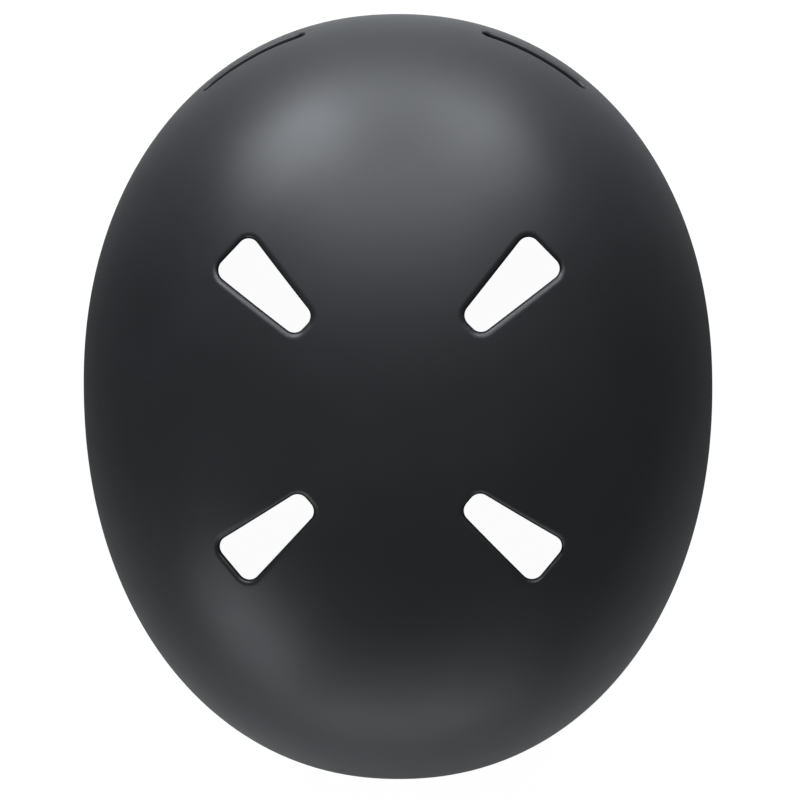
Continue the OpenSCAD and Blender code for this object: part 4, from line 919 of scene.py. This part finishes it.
BLACK_SHELL = moulded("matt_black_shell", (0.0125, 0.0132, 0.0148), 0.40, 1200.0, 0.00002, 0.10, 0.03)
PLASTIC = moulded("black_nylon", (0.020, 0.020, 0.022), 0.42, 1800.0, 0.00004, 0.15)
GLOSSY = moulded("black_dial", (0.016, 0.016, 0.017), 0.30, 900.0, 0.00002, 0.12)
RUBBER = moulded("black_rubber", (0.016, 0.016, 0.017), 0.62, 1300.0, 0.00004, 0.15)
FOAM = bead_foam("bead_foam", (0.022, 0.022, 0.024), (0.060, 0.060, 0.064))
FABRIC = knit("pad_fabric", (0.020, 0.021, 0.025), (0.085, 0.088, 0.098))
WEB = weave("webbing", (0.010, 0.010, 0.011), (0.045, 0.046, 0.050))
HOOKS = hooks("hook_tape", (0.012, 0.012, 0.013), (0.05, 0.05, 0.052))
THREAD = moulded("thread", (0.055, 0.056, 0.060), 0.55, 2500.0, 0.00005, 0.2, 0.08)
STEEL = moulded("steel", (0.52, 0.52, 0.54), 0.33, 1400.0, 0.00002, 0.08)
STEEL.node_tree.nodes["Principled BSDF"].inputs["Metallic"].default_value = 1.0
BY_SLOT = {"shell": BLACK_SHELL, "foam": FOAM, "rubber": RUBBER, "pad_fabric": FABRIC,
           "hook_fabric": HOOKS, "webbing": WEB, "plastic": PLASTIC, "dial_plastic": GLOSSY,
           "steel": STEEL}
for part in frame["record"]["subparts"]:
    for place in frame["nodes"][part["node"]].material_slots:
        place.material = BY_SLOT[part["material_slot"]]

make_shell(BLACK_SHELL)
cut_slots(make_liner(FOAM))
make_trim(RUBBER)
make_pads()
make_straps()
make_tacks()


# Moulded parts: copies of the CAD nodes with their sharp edges softened as a mould leaves them
SOFTENED = {"buckle_socket": 0.45, "buckle_plug": 0.4, "divider_left": 0.55, "divider_right": 0.55,
            "divider_lever_left": 0.25, "divider_lever_right": 0.25, "dial": 0.3, "dial_housing": 0.4,
            "housing_cover": 0.3, "height_ladder": 0.3, "height_anchor": 0.4, "temple_guide_left": 0.25,
            "temple_guide_right": 0.25, "temple_pins": 0.3, "strap_keepers": 0.35, "prong_front": 0.2,
            "prong_rear": 0.2, "band_left": 0.3, "band_right": 0.3, "strap_anchors": 0.3}
SLOTS = {part["node"]: part["material_slot"] for part in frame["record"]["subparts"]}
BODIES = {node: body for body, nodes in frame["record"]["behaviour"]["bodies"].items() for node in nodes}


def soften(node, width):
    source = frame["nodes"][node]
    whole = bmesh.new()
    whole.from_mesh(source.data)
    whole.transform(source.matrix_world)
    bmesh.ops.remove_doubles(whole, verts=whole.verts, dist=2e-6)
    bmesh.ops.dissolve_limit(whole, angle_limit=math.radians(0.6), verts=whole.verts, edges=whole.edges)
    sharp = [e for e in whole.edges if e.is_convex and e.calc_face_angle(0) > math.radians(32)]
    bmesh.ops.bevel(whole, geom=sharp, offset=width * MM, offset_type="OFFSET", segments=2, profile=0.5,
                    affect="EDGES", clamp_overlap=True)
    mesh = bpy.data.meshes.new("soft_" + node)
    whole.to_mesh(mesh)
    whole.free()
    mesh.polygons.foreach_set("use_smooth", [True] * len(mesh.polygons))
    mesh.set_sharp_from_angle(angle=math.radians(40))
    obj = bpy.data.objects.new("soft_" + node, mesh)
    bpy.context.scene.collection.objects.link(obj)
    mesh.materials.append(BY_SLOT[SLOTS[node]])
    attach(obj, BODIES[node])
    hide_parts(node)
    return obj


for node, width in SOFTENED.items():
    soften(node, width)


# Stage: a floor and a world that the camera sees as white. The floor's colours beside the helmet and ahead
# of it, the shift of its pale part to the front, where it is palest, and the light of the room
FLAGGED, PALE = (0.14, 0.14, 0.14), (0.85, 0.85, 0.85)
TOWARD_FRONT, BRIGHT_AT, ROOM = 0.1, 1.2, 0.17


def graded(t):
    """Colour of the floor as the helmet sees it: pale ahead and behind, in the shade of flags beside it."""
    at = t.nodes.new("ShaderNodeTexCoord").outputs["Object"]
    way, parts = t.nodes.new("ShaderNodeVectorMath"), t.nodes.new("ShaderNodeSeparateXYZ")
    way.operation = "NORMALIZE"
    t.links.new(at, way.inputs[0])
    t.links.new(way.outputs["Vector"], parts.inputs[0])
    share = maths(t, "POWER", maths(t, "SUBTRACT", parts.outputs["Y"], TOWARD_FRONT), 2.0)
    return ramp(t, share, 0.0, BRIGHT_AT, FLAGGED, PALE)


def white_floor():
    m, t, p = nodes_of("white_floor")
    t.nodes.remove(p)
    rays = t.nodes.new("ShaderNodeLightPath")
    seen = maths(t, "MAXIMUM", rays.outputs["Is Camera Ray"], rays.outputs["Is Transmission Ray"])
    matt, faint = t.nodes.new("ShaderNodeBsdfDiffuse"), t.nodes.new("ShaderNodeBsdfDiffuse")
    t.links.new(graded(t), matt.inputs["Color"])
    faint.inputs["Color"].default_value = (0.10, 0.10, 0.10, 1)
    glow = t.nodes.new("ShaderNodeEmission")
    glow.inputs["Color"].default_value = (0.97, 0.97, 0.97, 1)
    add, mix = t.nodes.new("ShaderNodeAddShader"), t.nodes.new("ShaderNodeMixShader")
    t.links.new(glow.outputs[0], add.inputs[0])
    t.links.new(faint.outputs[0], add.inputs[1])
    t.links.new(seen, mix.inputs["Fac"])
    t.links.new(matt.outputs[0], mix.inputs[1])
    t.links.new(add.outputs[0], mix.inputs[2])
    t.links.new(mix.outputs[0], t.nodes["Material Output"].inputs["Surface"])
    return m


def white_world():
    world = bpy.context.scene.world or bpy.data.worlds.new("world")
    bpy.context.scene.world = world
    world.use_nodes = True
    t = world.node_tree
    t.nodes.clear()
    rays = t.nodes.new("ShaderNodeLightPath")
    room, seen = t.nodes.new("ShaderNodeBackground"), t.nodes.new("ShaderNodeBackground")
    room.inputs["Color"].default_value = (0.96, 0.98, 1.0, 1)
    room.inputs["Strength"].default_value = ROOM
    seen.inputs["Color"].default_value = (1, 1, 1, 1)
    mix, out = t.nodes.new("ShaderNodeMixShader"), t.nodes.new("ShaderNodeOutputWorld")
    t.links.new(rays.outputs["Is Camera Ray"], mix.inputs["Fac"])
    t.links.new(room.outputs[0], mix.inputs[1])
    t.links.new(seen.outputs[0], mix.inputs[2])
    t.links.new(mix.outputs[0], out.inputs["Surface"])


def stage():
    bpy.ops.mesh.primitive_plane_add(size=8, location=(0, 0, -0.0004))
    floor = bpy.context.object
    floor.name = "floor"
    floor.data.materials.append(white_floor())
    white_world()


# Soft boxes by turn round the helmet, height angle, distance, width, height and power
BOXES = {"rear_near": (90, 13, 0.85, 0.9, 0.4, 3.7), "rear_right": (65, 22, 1.8, 0.9, 0.9, 9.4),
         "rear_left": (118, 20, 1.8, 0.9, 0.9, 16.6), "rear_high": (90, 45, 1.9, 1.7, 0.9, 14.5),
         "top": (90, 65, 1.9, 1.5, 0.7, 3.0), "front": (270, 13, 1.8, 1.1, 0.9, 2.4),
         "front_near": (270, 5, 0.9, 1.0, 0.3, 1.0),
         "front_left": (228, 17, 1.8, 0.9, 0.8, 6.2), "front_right": (295, 22, 1.8, 0.8, 0.9, 0.7)}
DAYLIGHT = (0.91, 0.945, 1.0)


def lamp(name, turn, rise, far, wide, tall, power):
    data = bpy.data.lights.new(name, "AREA")
    data.shape, data.size, data.size_y, data.energy = "RECTANGLE", wide, tall, power
    data.color = DAYLIGHT
    a, e = math.radians(turn), math.radians(rise)
    way = Vector((math.cos(a) * math.cos(e), math.sin(a) * math.cos(e), math.sin(e)))
    obj = bpy.data.objects.new(name, data)
    obj.location = far * way + Vector((0, 0, 0.05))
    obj.rotation_euler = (Vector((0, 0, 0.06)) - obj.location).to_track_quat("-Z", "Y").to_euler()
    obj.visible_camera = False
    bpy.context.scene.collection.objects.link(obj)


stage()
for name, place in BOXES.items():
    lamp(name, *place)

# Camera: almost straight down, from a little behind and to the left side of the helmet
FAR, LENS, LEAN_X, LEAN_Y, ROLL = 1.6, 205.1, 2.15, 4.05, 0.35
LOOK_AT = (0.6, -1.05, 62.0)
camera = bpy.data.cameras.new("camera")
camera.lens, camera.sensor_width = LENS, 36.0
camera.clip_end = 20
eye = bpy.data.objects.new("camera", camera)
bpy.context.scene.collection.objects.link(eye)
look = Vector(LOOK_AT) * MM
back = Vector((math.tan(math.radians(LEAN_X)), math.tan(math.radians(LEAN_Y)), 1)).normalized()
right = Vector((0, 1, 0)).cross(back).normalized()
up = back.cross(right)
roll = math.radians(ROLL)
right, up = right * math.cos(roll) - up * math.sin(roll), right * math.sin(roll) + up * math.cos(roll)
eye.matrix_world = Matrix((
    (right.x, up.x, back.x, look.x + FAR * back.x),
    (right.y, up.y, back.y, look.y + FAR * back.y),
    (right.z, up.z, back.z, look.z + FAR * back.z),
    (0, 0, 0, 1)))
bpy.context.scene.camera = eye
bpy.context.scene.view_settings.view_transform = "Standard"
